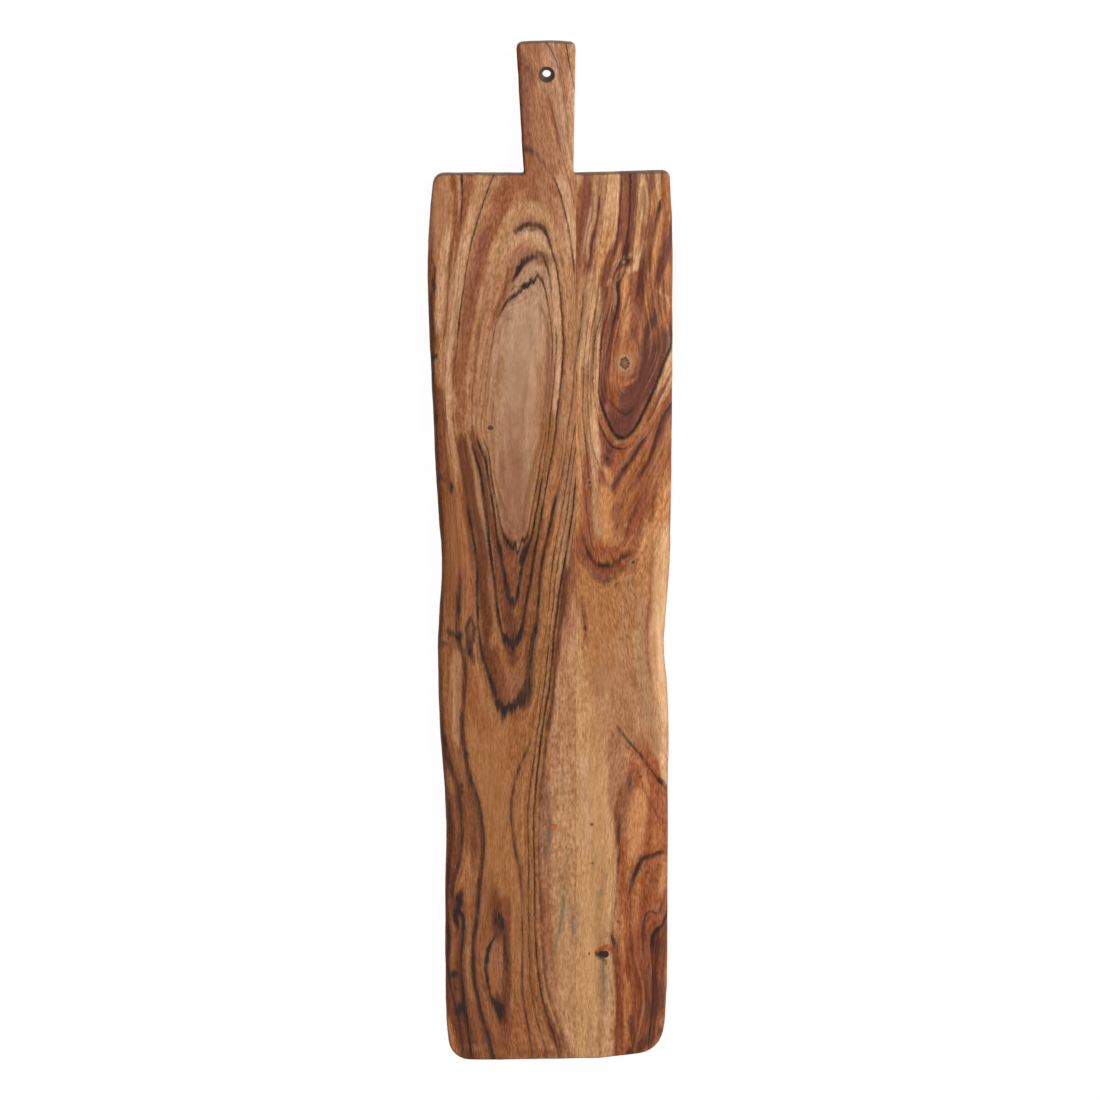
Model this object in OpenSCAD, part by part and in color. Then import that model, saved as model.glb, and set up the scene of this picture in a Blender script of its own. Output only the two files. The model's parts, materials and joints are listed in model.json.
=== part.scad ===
// Paddle serving board: two hardwood staves with natural outer edges, glued edge to edge.
// The handle is cut on the wider stave and has a countersunk hanging hole.
// The board lies on its underside, with the handle towards +Y and the serving face up.

/* [Board] */
// Overall length from the foot end to the handle tip
board_length = 800; // [650:5:950]
// Greatest width across the two natural edges
board_width = 190; // [160:1:230]
// Thickness of both staves
thickness = 18; // [14:0.5:26]
// Height of the right shoulder's outer corner above the left shoulder
shoulder_rise = 2; // [0:0.5:6]
// Set-back of the foot end's right corner
foot_setback = 7; // [0:0.5:15]

/* [Natural edges] */
// How far the left edge has drawn in where it meets the foot end
left_hollow = 17; // [5:0.5:22]
// How far the right edge has drawn in where it meets the foot end
right_hollow = 9; // [3:0.5:18]
// Radius of the soft roll over the top of the natural edges
live_roll_top = 7; // [3:0.5:8]
// Radius of the roll under the natural edges
live_roll_under = 4; // [2:0.5:5]
// Radius of the eased edges on the handle, shoulders and foot
eased_edge = 1.6; // [0.8:0.1:2.4]

/* [Corners] */
// Radius of the left shoulder's outer corner
shoulder_left_radius = 9; // [4:0.5:14]
// Radius of the right shoulder's outer corner
shoulder_right_radius = 6; // [4:0.5:14]
// Radius of the foot's left corner
foot_left_radius = 17; // [6:0.5:24]
// Radius of the foot's right corner
foot_right_radius = 22; // [6:0.5:26]

/* [Handle] */
// Length of the handle from the left shoulder to its tip
handle_length = 103; // [70:1:140]
// Width of the handle at its tip
handle_tip_width = 46; // [34:0.5:56]
// Width of the handle at the shoulders
handle_root_width = 38.5; // [30:0.5:50]
// Sideways place of the handle's middle at its tip
handle_tip_offset = -3.1; // [-8:0.1:4]
// Sideways place of the handle's middle at the shoulders
handle_root_offset = -1.1; // [-8:0.1:4]
// Height of the tip's gentle crown
tip_crown = 1.2; // [0:0.2:4]
// Radius of the tip's corners
tip_radius = 5; // [3:0.5:12]
// Radius of the inside corners where the handle meets the shoulders
root_radius = 1.6; // [0.8:0.2:6]

/* [Hanging hole] */
// Diameter of the drilled hole
hole_diameter = 6.6; // [5:0.2:10]
// Diameter of the countersunk mouth on each face
mouth_diameter = 12.8; // [11:0.2:16]
// Distance from the handle tip to the hole's axis
hole_setback = 25; // [18:1:40]

/* [Glue line] */
// Thickness of the glue film between the two staves
glue_thickness = 0.2; // [0.1:0.05:0.5]
// How far the handle's side stays inside the glued edge
handle_margin = 0.2; // [0.1:0.1:6]

/* [Filled knot] */
// Diameter of the larger hole drilled through the knot
knot_diameter = 5.6; // [3:0.2:9]
// Diameter of the smaller hole beside it
knot_small_diameter = 4.4; // [2:0.2:8]
// Distance between the two holes' axes
knot_spacing = 3.2; // [1:0.2:5]
// Depth of the resin that fills them
knot_depth = 6; // [2:0.5:9]
// Distance of the knot from the middle of the glue line
knot_from_glue = 23; // [12:1:40]
// Distance of the knot from the foot end
knot_from_foot = 84; // [45:1:160]

/* [Hidden] */
$fn = 64;

// Each natural edge: share of the way from shoulder to foot, and share of its hollow drawn in there
left_edge = [
    [0, 0.3], [0.04, 0.12], [0.11, 0], [0.21, 0.14], [0.37, 0.45], [0.44, 0.64], [0.53, 0.45],
    [0.6, 0.5], [0.74, 0.82], [0.82, 0.77], [0.93, 0.79], [1, 1]
];
right_edge = [
    [0, 0.25], [0.08, 0], [0.19, 0], [0.42, 0.17], [0.47, 0.38], [0.53, 0.7], [0.58, 0.4],
    [0.63, 0.26], [0.7, 0.34], [0.89, 0.36], [0.95, 0.56], [1, 1]
];
// Shares of the foot's width where its level stretch ends and where it starts to fall back
foot_level_share = 0.24;
foot_bend_share = 0.71;
// Share of the set-back reached at that bend
foot_bend_rise = 0.2;
// Share of a natural edge over which its soft roll fades into the eased ends
roll_fade = 0.08;
// Share of the blade, from the shoulders, where the middle point of its flat faces lies
blade_middle_share = 0.4;
// Samples along a natural edge, a corner's arc, the tip's crown and a rounded edge
edge_steps = 48;
arc_steps = 6;
crown_steps = 6;
roll_steps = 6;
// Angle of the two holes in the filled knot, and the overshoot of every cut
knot_angle = 170;
cut = 1;

foot_y = -board_length / 2;
tip_y = board_length / 2;
shoulder_y = tip_y - handle_length;
blade_length = shoulder_y - foot_y;
hole_y = tip_y - hole_setback;
hole_share = (hole_y - shoulder_y) / handle_length;
hole_x = handle_root_offset + (handle_tip_offset - handle_root_offset) * hole_share;
countersink = (mouth_diameter - hole_diameter) / 2;
handle_right = max(
    handle_tip_offset + handle_tip_width / 2,
    handle_root_offset + handle_root_width / 2
);
glue_x = handle_right + handle_margin + glue_thickness / 2;
knot_x = glue_x + knot_from_glue;
knot_y = foot_y + knot_from_foot;

// A smooth curve through stations that never swings past them
function slope(stations, i) =
    (stations[i + 1][1] - stations[i][1]) / (stations[i + 1][0] - stations[i][0]);
function tangent(stations, i) =
    i == 0 ? slope(stations, 0) :
    i == len(stations) - 1 ? slope(stations, i - 1) :
    let (before = slope(stations, i - 1), after = slope(stations, i))
    before * after <= 0 ? 0 : 2 * before * after / (before + after);
function along(stations, share) =
    let (
        i = max([for (k = [0 : len(stations) - 2]) if (stations[k][0] <= share) k]),
        span = stations[i + 1][0] - stations[i][0],
        t = (share - stations[i][0]) / span
    )
    stations[i][1] * (1 + 2 * t) * (1 - t) * (1 - t)
    + tangent(stations, i) * span * t * (1 - t) * (1 - t)
    + stations[i + 1][1] * t * t * (3 - 2 * t)
    + tangent(stations, i + 1) * span * t * t * (t - 1);

function left_x(share) = -board_width / 2 + left_hollow * along(left_edge, share);
function right_x(share) = board_width / 2 - right_hollow * along(right_edge, share);

function smooth(t) = let (u = min(max(t, 0), 1)) u * u * (3 - 2 * u);
function roll_share(share) = smooth(share / roll_fade) * smooth((1 - share) / roll_fade);

// An arc of the given radius in place of a corner, whichever way the corner turns
function unit(v) = v / norm(v);
function corner_arc(before, corner, after, radius) =
    let (
        a = unit(before - corner),
        b = unit(after - corner),
        half = acos(a * b) / 2,
        centre = corner + unit(a + b) * radius / sin(half),
        first = corner + a * radius / tan(half) - centre,
        last = corner + b * radius / tan(half) - centre,
        from = atan2(first[1], first[0]),
        turn = atan2(first[0] * last[1] - first[1] * last[0], first * last)
    )
    [for (k = [0 : arc_steps])
        centre + radius * [cos(from + turn * k / arc_steps), sin(from + turn * k / arc_steps)]];

// The board's outline runs anticlockwise from the handle's right root.
// A stop is a point, its corner radius and its share of the soft roll.
handle_stops = concat(
    [
        [[handle_root_offset + handle_root_width / 2, shoulder_y], root_radius, 0],
        [[handle_tip_offset + handle_tip_width / 2, tip_y - tip_crown], tip_radius, 0]
    ],
    [for (k = [1 : crown_steps - 1])
        let (u = (1 - 2 * k / crown_steps) * (1 - 2 * tip_radius / handle_tip_width))
        [[handle_tip_offset + u * handle_tip_width / 2, tip_y - tip_crown * u * u], 0, 0]],
    [
        [[handle_tip_offset - handle_tip_width / 2, tip_y - tip_crown], tip_radius, 0],
        [[handle_root_offset - handle_root_width / 2, shoulder_y], root_radius, 0]
    ]
);
function edge_y(share) = shoulder_y - blade_length * share;
left_start = (shoulder_left_radius + cut) / blade_length;
left_end = (foot_left_radius + cut) / blade_length;
left_stops = concat(
    [[[left_x(0), shoulder_y], shoulder_left_radius, 0]],
    [for (k = [0 : edge_steps])
        let (share = left_start + (1 - left_start - left_end) * k / edge_steps)
        [[left_x(share), edge_y(share)], 0, roll_share(k / edge_steps)]]
);
foot_left = [left_x(1), foot_y];
foot_right = [right_x(1), foot_y + foot_setback];
foot_width = foot_right[0] - foot_left[0];
foot_stops = [
    [foot_left, foot_left_radius, 0],
    [[foot_left[0] + foot_width * foot_level_share, foot_y], 0, 0],
    [[foot_left[0] + foot_width * foot_bend_share, foot_y + foot_setback * foot_bend_rise], 0, 0],
    [foot_right, foot_right_radius, 0]
];
right_start = (foot_right_radius + foot_setback + cut) / blade_length;
right_end = (shoulder_right_radius + cut) / blade_length;
right_stops = concat(
    [for (k = [0 : edge_steps])
        let (share = 1 - right_start - (1 - right_start - right_end) * k / edge_steps)
        [[right_x(share), edge_y(share)], 0, roll_share(k / edge_steps)]],
    [[[right_x(0), shoulder_y + shoulder_rise], shoulder_right_radius, 0]]
);
stops = concat(handle_stops, left_stops, foot_stops, right_stops);

// The outline's points, each with its share of the soft roll
outline = [for (i = [0 : len(stops) - 1])
    let (
        before = stops[(i + len(stops) - 1) % len(stops)][0],
        after = stops[(i + 1) % len(stops)][0],
        points = stops[i][1] == 0 ? [stops[i][0]] : corner_arc(before, stops[i][0], after, stops[i][1])
    )
    each [for (p = points) [p[0], p[1], stops[i][2]]]];
count = len(outline);

// Way into the wood at an outline point
function inward(i) =
    let (
        before = outline[(i + count - 1) % count],
        after = outline[(i + 1) % count],
        run = unit([after[0] - before[0], after[1] - before[1]])
    )
    [-run[1], run[0]];
// One ring of the blank, as its edge turns from a face's flat (0) to the upright side (90)
function ring(upper, turn) = [for (i = [0 : count - 1])
    let (
        soft = upper ? live_roll_top : live_roll_under,
        radius = eased_edge + (soft - eased_edge) * outline[i][2],
        inset = radius * (1 - sin(turn)),
        depth = radius * (1 - cos(turn)),
        way = inward(i)
    )
    [outline[i][0] + way[0] * inset, outline[i][1] + way[1] * inset, upper ? thickness - depth : depth]];

// Each flat face is a fan of triangles over the handle and another over the blade,
// which meet between the points where the handle's sides leave its rounded roots.
handle_run = [for (i = [arc_steps : 3 * (arc_steps + 1) + crown_steps - 1]) i];
blade_run = concat(
    [for (i = [handle_run[len(handle_run) - 1] : count - 1]) i],
    [for (i = [0 : arc_steps]) i]
);
handle_middle = [(handle_root_offset + handle_tip_offset) / 2, shoulder_y + handle_length / 2];
blade_middle = [0, edge_y(blade_middle_share)];
function fan(run, base, middle, upper) = [for (k = [0 : len(run) - 1])
    let (a = base + run[k], b = base + run[(k + 1) % len(run)])
    upper ? [b, a, middle] : [a, b, middle]];

// The whole board's shape, before it is parted along the glue line and drilled
module board_blank() {
    rings = concat(
        [for (k = [0 : roll_steps]) ring(false, 90 * k / roll_steps)],
        [for (k = [roll_steps : -1 : 0]) ring(true, 90 * k / roll_steps)]
    );
    middles = [for (z = [0, thickness]) for (p = [handle_middle, blade_middle]) [p[0], p[1], z]];
    last = len(rings) - 1;
    total = len(rings) * count;
    polyhedron(
        points = concat([for (r = rings) each r], middles),
        faces = concat(
            fan(handle_run, 0, total, false),
            fan(blade_run, 0, total + 1, false),
            [for (k = [0 : last - 1]) for (i = [0 : count - 1])
                let (a = k * count + i, b = k * count + (i + 1) % count)
                each [[a, a + count, b + count], [a, b + count, b]]],
            fan(handle_run, last * count, total + 2, true),
            fan(blade_run, last * count, total + 3, true)
        )
    );
}

// Everything to the right of a plane across the board
module right_of(x) {
    translate([x, -board_length, -cut])
        cube([board_width, 2 * board_length, thickness + 2 * cut]);
}

module hanging_hole() {
    translate([hole_x, hole_y, 0]) {
        translate([0, 0, -cut])
            cylinder(h = thickness + 2 * cut, d = hole_diameter);
        translate([0, 0, -cut])
            cylinder(h = countersink + cut, d1 = mouth_diameter + 2 * cut, d2 = hole_diameter);
        translate([0, 0, thickness - countersink])
            cylinder(h = countersink + cut, d1 = hole_diameter, d2 = mouth_diameter + 2 * cut);
    }
}

// The two overlapping holes that clear the open knot, up to a given height
module knot_pocket(top) {
    height = top - thickness + knot_depth;
    translate([knot_x, knot_y, thickness - knot_depth])
        rotate([0, 0, knot_angle]) {
            cylinder(h = height, d = knot_diameter);
            translate([knot_spacing, 0, 0])
                cylinder(h = height, d = knot_small_diameter);
        }
}

// The wide stave, with the handle on the same plank
module handle_stave() {
    color([0.66, 0.42, 0.24])
        difference() {
            board_blank();
            right_of(glue_x - glue_thickness / 2);
            hanging_hole();
        }
}

// The narrower stave beside it
module side_stave() {
    color([0.6, 0.34, 0.2])
        difference() {
            intersection() {
                board_blank();
                right_of(glue_x + glue_thickness / 2);
            }
            knot_pocket(thickness + cut);
        }
}

// The cured glue film between them
module glue_line() {
    color([0.45, 0.3, 0.18])
        difference() {
            intersection() {
                board_blank();
                right_of(glue_x - glue_thickness / 2);
            }
            right_of(glue_x + glue_thickness / 2);
        }
}

// The dark resin in the open knot, level with the serving face
module knot_fill() {
    color([0.13, 0.09, 0.07])
        knot_pocket(thickness);
}

handle_stave();
side_stave();
glue_line();
knot_fill();
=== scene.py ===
# Paddle serving board: two figured hardwood staves glued edge to edge, oiled, with a handle on the wider one
import json
import math

import bmesh
import bpy
import numpy as np
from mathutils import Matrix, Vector, noise


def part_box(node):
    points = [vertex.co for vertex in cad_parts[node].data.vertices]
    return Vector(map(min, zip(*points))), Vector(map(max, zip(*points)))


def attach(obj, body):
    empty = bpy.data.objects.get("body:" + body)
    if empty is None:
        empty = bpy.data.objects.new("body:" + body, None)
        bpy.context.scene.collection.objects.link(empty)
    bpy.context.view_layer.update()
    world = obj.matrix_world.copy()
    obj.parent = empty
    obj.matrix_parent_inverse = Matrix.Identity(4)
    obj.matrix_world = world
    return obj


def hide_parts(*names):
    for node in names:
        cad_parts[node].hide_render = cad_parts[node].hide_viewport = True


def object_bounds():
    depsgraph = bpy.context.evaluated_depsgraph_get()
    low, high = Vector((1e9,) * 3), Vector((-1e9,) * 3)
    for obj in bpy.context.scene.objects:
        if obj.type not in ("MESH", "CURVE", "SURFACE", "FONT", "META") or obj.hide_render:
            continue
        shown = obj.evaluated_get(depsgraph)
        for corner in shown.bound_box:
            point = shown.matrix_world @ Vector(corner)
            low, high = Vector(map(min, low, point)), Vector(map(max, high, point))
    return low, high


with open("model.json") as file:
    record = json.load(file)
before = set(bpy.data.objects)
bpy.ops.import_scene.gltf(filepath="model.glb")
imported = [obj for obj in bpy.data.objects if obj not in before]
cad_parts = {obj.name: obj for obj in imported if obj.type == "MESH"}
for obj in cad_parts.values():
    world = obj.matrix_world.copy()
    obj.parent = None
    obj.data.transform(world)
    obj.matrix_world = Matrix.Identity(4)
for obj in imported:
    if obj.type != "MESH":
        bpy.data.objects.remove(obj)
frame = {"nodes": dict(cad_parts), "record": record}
cad_low, cad_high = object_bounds()

# Handle stave
# The wide plank of oiled acacia, with the handle sawn on the same piece and one natural outer edge.
# It was cut near the trunk's heart, so its growth rings close into a long eye and run out at the seam.

# The figure is drawn in photograph pixels: a pixel's size in metres, and the pixel at the board's middle
PIXEL = 0.785e-3
PHOTO_MIDDLE = (549.5, 554.0)
# Screen colours of the wood, and of a painted highlight on the side stave's right edge
TONES = {
    "cream": (214, 166, 121), "pale": (203, 157, 118), "sap": (190, 143, 102), "straw": (183, 134, 96),
    "rose": (186, 141, 110), "rose_pale": (203, 162, 130), "plum": (146, 95, 74), "tan": (170, 119, 85),
    "eye_light": (186, 148, 116), "eye": (176, 135, 104), "eye_dark": (158, 112, 84),
    "honey": (168, 115, 73), "amber": (160, 104, 66), "russet": (154, 101, 70), "brown": (147, 95, 60),
    "umber": (133, 82, 53), "chestnut": (114, 69, 44), "orange": (180, 118, 76), "heart": (205, 145, 97),
    "rust": (163, 97, 62), "ember": (145, 81, 50), "wine": (137, 85, 63), "dark_wine": (112, 67, 53),
    "mahogany": (100, 54, 40), "fawn": (180, 125, 80), "buff": (180, 129, 92), "brick": (160, 100, 70),
    "sapwood": (201, 154, 108), "redwood": (154, 99, 66), "highlit_cream": (226, 180, 134),
    "apricot": (192, 137, 92), "clay": (152, 92, 60), "dusk": (94, 61, 54), "smoke": (84, 54, 41),
    "ink": (50, 35, 30),
}
# Screen colours of the marks over it
MARKS = {
    "pale_vein": (212, 156, 108), "dark_vein": (100, 55, 42), "halo": (92, 50, 36), "soft_line": (92, 52, 39),
    "late_wood": (46, 31, 27), "smudge": (44, 33, 29), "stain": (112, 99, 82), "pore": (96, 56, 38),
    "end_grain": (70, 44, 32),
}
# Grains that run with the fibres: size across and along in metres, and detail
FIBRE_GRAINS = {
    "bundles": (0.0026, 0.06, 2.5), "sway": (0.006, 0.02, 2), "patches": (0.003, 0.016, 2),
    "streaks": (0.0018, 0.03, 3), "stripes": (0.0028, 0.09, 3), "mottle": (0.0045, 0.022, 2),
    "speckle": (0.0011, 0.0045, 2), "stipple": (0.001, 0.005, 1), "blots": (0.0022, 0.006, 3),
}
# Grains that run with the rings: size across in rings, size along in metres, and detail
RING_GRAINS = {
    "thick": (0.4, 0.2, 1), "thin": (0.1, 0.07, 2), "veins": (0.5, 0.12, 2), "wander": (0.9, 0.15, 1),
    "hair_ink": (0.45, 0.04, 2),
}
# Growth rings: number, darkness, breadth, and the line's places, across and down by turns
HANDLE_RINGS = [
    (0, 0.0, 1.0, [528, 330, 522, 400, 515, 470, 514, 515]),
    (1, 0.95, 1.6, [541, 279, 535, 280, 530, 284, 522, 288, 514, 296, 507, 302, 502, 309]),
    (1, 0.55, 0.8, [498, 317, 494, 334, 491, 355, 488, 373, 485, 395, 483, 416, 481, 426, 482, 434]),
    (1, 0.85, 0.9, [484, 439, 488, 449, 490, 461, 490, 470, 492, 484, 496, 500, 499, 516, 502, 531]),
    (1, 1.0, 1.9, [504, 534, 509, 542, 514, 549, 518, 547, 524, 541]),
    (1, 0.85, 0.9, [543, 285, 546, 295, 550, 315, 552, 340, 552, 355]),
    (1, 0.35, 0.9, [552, 366, 550, 385, 548, 405, 546, 425]),
    (1, 0.85, 1.0, [545, 437, 542, 452, 540, 460, 538, 476, 535, 490, 533, 505, 530, 520, 528, 535]),
    (2, 0.4, 1.4, [514, 278, 519, 271, 525, 262, 533, 256, 541, 253]),
    (2, 0.85, 1.1, [541, 254, 545, 263, 548, 273, 550, 285]),
    (2, 0.2, 0.8, [551, 300, 553, 320]),
    (2, 0.85, 0.9, [555, 340, 555, 355, 553, 378, 551, 400, 549, 415, 548, 432, 546, 446, 542, 470]),
    (2, 1.0, 1.4, [540, 488, 537, 503, 534, 520, 531, 536, 527, 549, 522, 560, 520, 575, 518, 588]),
    (2, 1.0, 2.4, [517, 594, 513, 602, 509, 594]),
    (2, 1.0, 1.9, [507, 585, 503, 566, 500, 551, 498, 538]),
    (2, 1.0, 1.8, [497, 527, 495, 514, 493, 501, 491, 488, 489, 472, 486, 459, 482, 450, 478, 438]),
    (2, 0.4, 0.8, [476, 428, 477, 410, 480, 385, 485, 355, 490, 332, 497, 310, 505, 292]),
    (3, 0.9, 2.3, [520, 229, 524, 227, 530, 225, 537, 227, 543, 231]),
    (3, 0.95, 1.4, [546, 236, 549, 245]),
    (3, 0.9, 0.8, [550, 248, 553, 258, 556, 270, 558, 283, 560, 298, 561, 315, 562, 330, 563, 347]),
    (3, 0.95, 0.9, [562, 362, 560, 384, 558, 402, 556, 424, 553, 444, 550, 460, 547, 477, 544, 494]),
    (3, 1.0, 1.4, [541, 513, 537, 534, 535, 545, 532, 566, 529, 584, 525, 605, 522, 625]),
    (3, 1.0, 2.8, [520, 633, 516, 641, 511, 645, 506, 639]),
    (3, 0.3, 1.0, [504, 248, 499, 261, 493, 280, 486, 303, 480, 330, 477, 360, 473, 395, 473, 425]),
    (3, 1.0, 1.4, [476, 455, 480, 468, 483, 487, 485, 505, 488, 522, 490, 545, 492, 562, 495, 580]),
    (3, 1.0, 1.6, [497, 602, 499, 620, 503, 633]),
    (4, 0.9, 0.7, [493, 179, 487, 195, 481, 212, 476, 230, 470, 252, 466, 275, 462, 305, 459, 330]),
    (4, 0.7, 0.7, [457, 350, 455, 370, 453, 393, 454, 415, 456, 435, 460, 457, 463, 472, 466, 490]),
    (4, 0.95, 1.3, [469, 512, 472, 527, 475, 543, 477, 562, 478, 585, 478, 610, 479, 630, 481, 645]),
    (4, 1.0, 1.8, [484, 658, 490, 676, 494, 688]),
    (4, 1.0, 3.0, [497, 699, 504, 710, 511, 706, 517, 699]),
    (4, 1.0, 2.4, [522, 692, 526, 677, 529, 658, 531, 644, 534, 630]),
    (4, 1.0, 1.3, [536, 615, 538, 597, 539, 580, 541, 563, 544, 548, 547, 533, 550, 520, 553, 505]),
    (4, 0.75, 0.8, [557, 489, 560, 480, 563, 465, 565, 450, 566, 435, 568, 421, 571, 402, 573, 380]),
    (4, 0.85, 0.8, [557, 187, 560, 197, 564, 213, 567, 226, 570, 243, 572, 262]),
    (4, 0.65, 1.6, [526, 150, 533, 154, 540, 160, 545, 170]),
    (5, 0.95, 1.3, [463, 176, 463, 192, 462, 208]),
    (5, 0.35, 0.9, [459, 245, 456, 285, 451, 325, 448, 355]),
    (5, 0.6, 0.8, [446, 375, 446, 400, 447, 425, 449, 440, 451, 453, 453, 466, 454, 482]),
    (5, 0.0, 0.8, [457, 520, 460, 560]),
    (5, 0.85, 2.0, [461, 583, 459, 597, 459, 612, 458, 626, 460, 640, 464, 652, 466, 672, 465, 694]),
    (5, 0.9, 2.0, [463, 718, 463, 736, 466, 754, 469, 772, 474, 788, 479, 803, 482, 822, 484, 842]),
    (5, 0.9, 1.8, [483, 860, 480, 890, 477, 922, 474, 945, 473, 963, 475, 985, 479, 1005, 485, 1028]),
    (5, 0.9, 1.8, [489, 1043, 492, 1057]),
    (5, 0.8, 0.9, [573, 432, 570, 450, 567, 472, 563, 500, 560, 518, 556, 538, 553, 557, 550, 582]),
    (5, 0.65, 0.9, [549, 600, 547, 620, 544, 640, 541, 660, 540, 680, 538, 700, 535, 717, 530, 740]),
    (5, 0.8, 1.2, [525, 752, 519, 766, 514, 783, 510, 805, 511, 825, 514, 850, 519, 875, 521, 895]),
    (5, 0.8, 1.1, [522, 925, 522, 960, 521, 985, 524, 1012, 528, 1035, 532, 1057]),
    (5, 0.35, 1.4, [525, 68, 533, 77, 540, 88, 546, 95]),
    (5, 0.5, 0.7, [551, 112, 555, 127, 558, 140, 561, 155, 564, 166, 568, 180, 571, 195]),
    (6, 0.4, 0.8, [455, 180, 459, 198, 457, 215, 454, 240, 451, 265]),
    (6, 0.2, 0.8, [446, 305, 441, 345, 440, 385, 444, 420, 448, 455]),
    (6, 0.0, 1.6, [446, 520, 446, 600, 444, 680]),
    (6, 0.85, 1.8, [447, 747, 452, 768, 457, 785, 461, 805, 463, 828, 462, 850, 458, 871, 452, 890]),
    (6, 0.95, 1.3, [464, 920, 463, 945, 461, 965, 463, 990, 466, 1012, 470, 1050]),
    (6, 0.85, 0.9, [573, 455, 570, 478, 567, 505, 563, 528, 559, 549, 556, 568, 553, 590]),
    (6, 0.85, 0.9, [551, 612, 549, 632, 546, 660, 543, 690, 540, 708, 537, 730, 534, 758, 530, 785]),
    (6, 0.8, 0.9, [527, 815, 528, 850, 528, 895, 528, 940, 529, 985, 535, 1020, 541, 1040, 546, 1057]),
    (6, 0.85, 0.5, [552, 45, 546, 48, 549, 54, 554, 61, 558, 68]),
    (6, 0.4, 0.7, [562, 90, 565, 115, 567, 140, 569, 155]),
    (7, 0.75, 1.8, [449, 798, 452, 820, 453, 840, 451, 862, 447, 900]),
    (7, 0.85, 1.1, [450, 938, 449, 972, 453, 1000, 459, 1022, 463, 1050]),
    (7, 1.0, 1.2, [574, 488, 572, 510, 570, 526, 567, 545, 564, 562, 560, 582, 557, 603, 555, 622]),
    (7, 1.0, 1.2, [553, 645, 551, 668, 549, 688, 545, 709, 542, 728, 539, 750, 536, 775, 535, 800]),
    (7, 0.9, 1.1, [533, 832, 534, 870, 534, 915, 535, 947, 537, 970, 541, 1000, 547, 1020, 554, 1042]),
    (7, 0.9, 0.6, [565, 46, 567, 58, 569, 70, 571, 79]),
    (8, 0.7, 0.9, [574, 519, 572, 535, 570, 550, 568, 563]),
    (8, 0.7, 2.2, [566, 580, 563, 602, 560, 625, 557, 645]),
    (8, 0.75, 1.6, [555, 665, 553, 686, 551, 707, 547, 728, 544, 755, 541, 785, 539, 810]),
    (8, 0.6, 1.2, [538, 835, 538, 870, 540, 905, 541, 940, 544, 978, 548, 1000, 556, 1022, 565, 1052]),
    (9, 0.0, 1.0, [574, 610, 571, 680, 568, 740, 565, 820, 565, 920, 572, 1000]),
]
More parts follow.
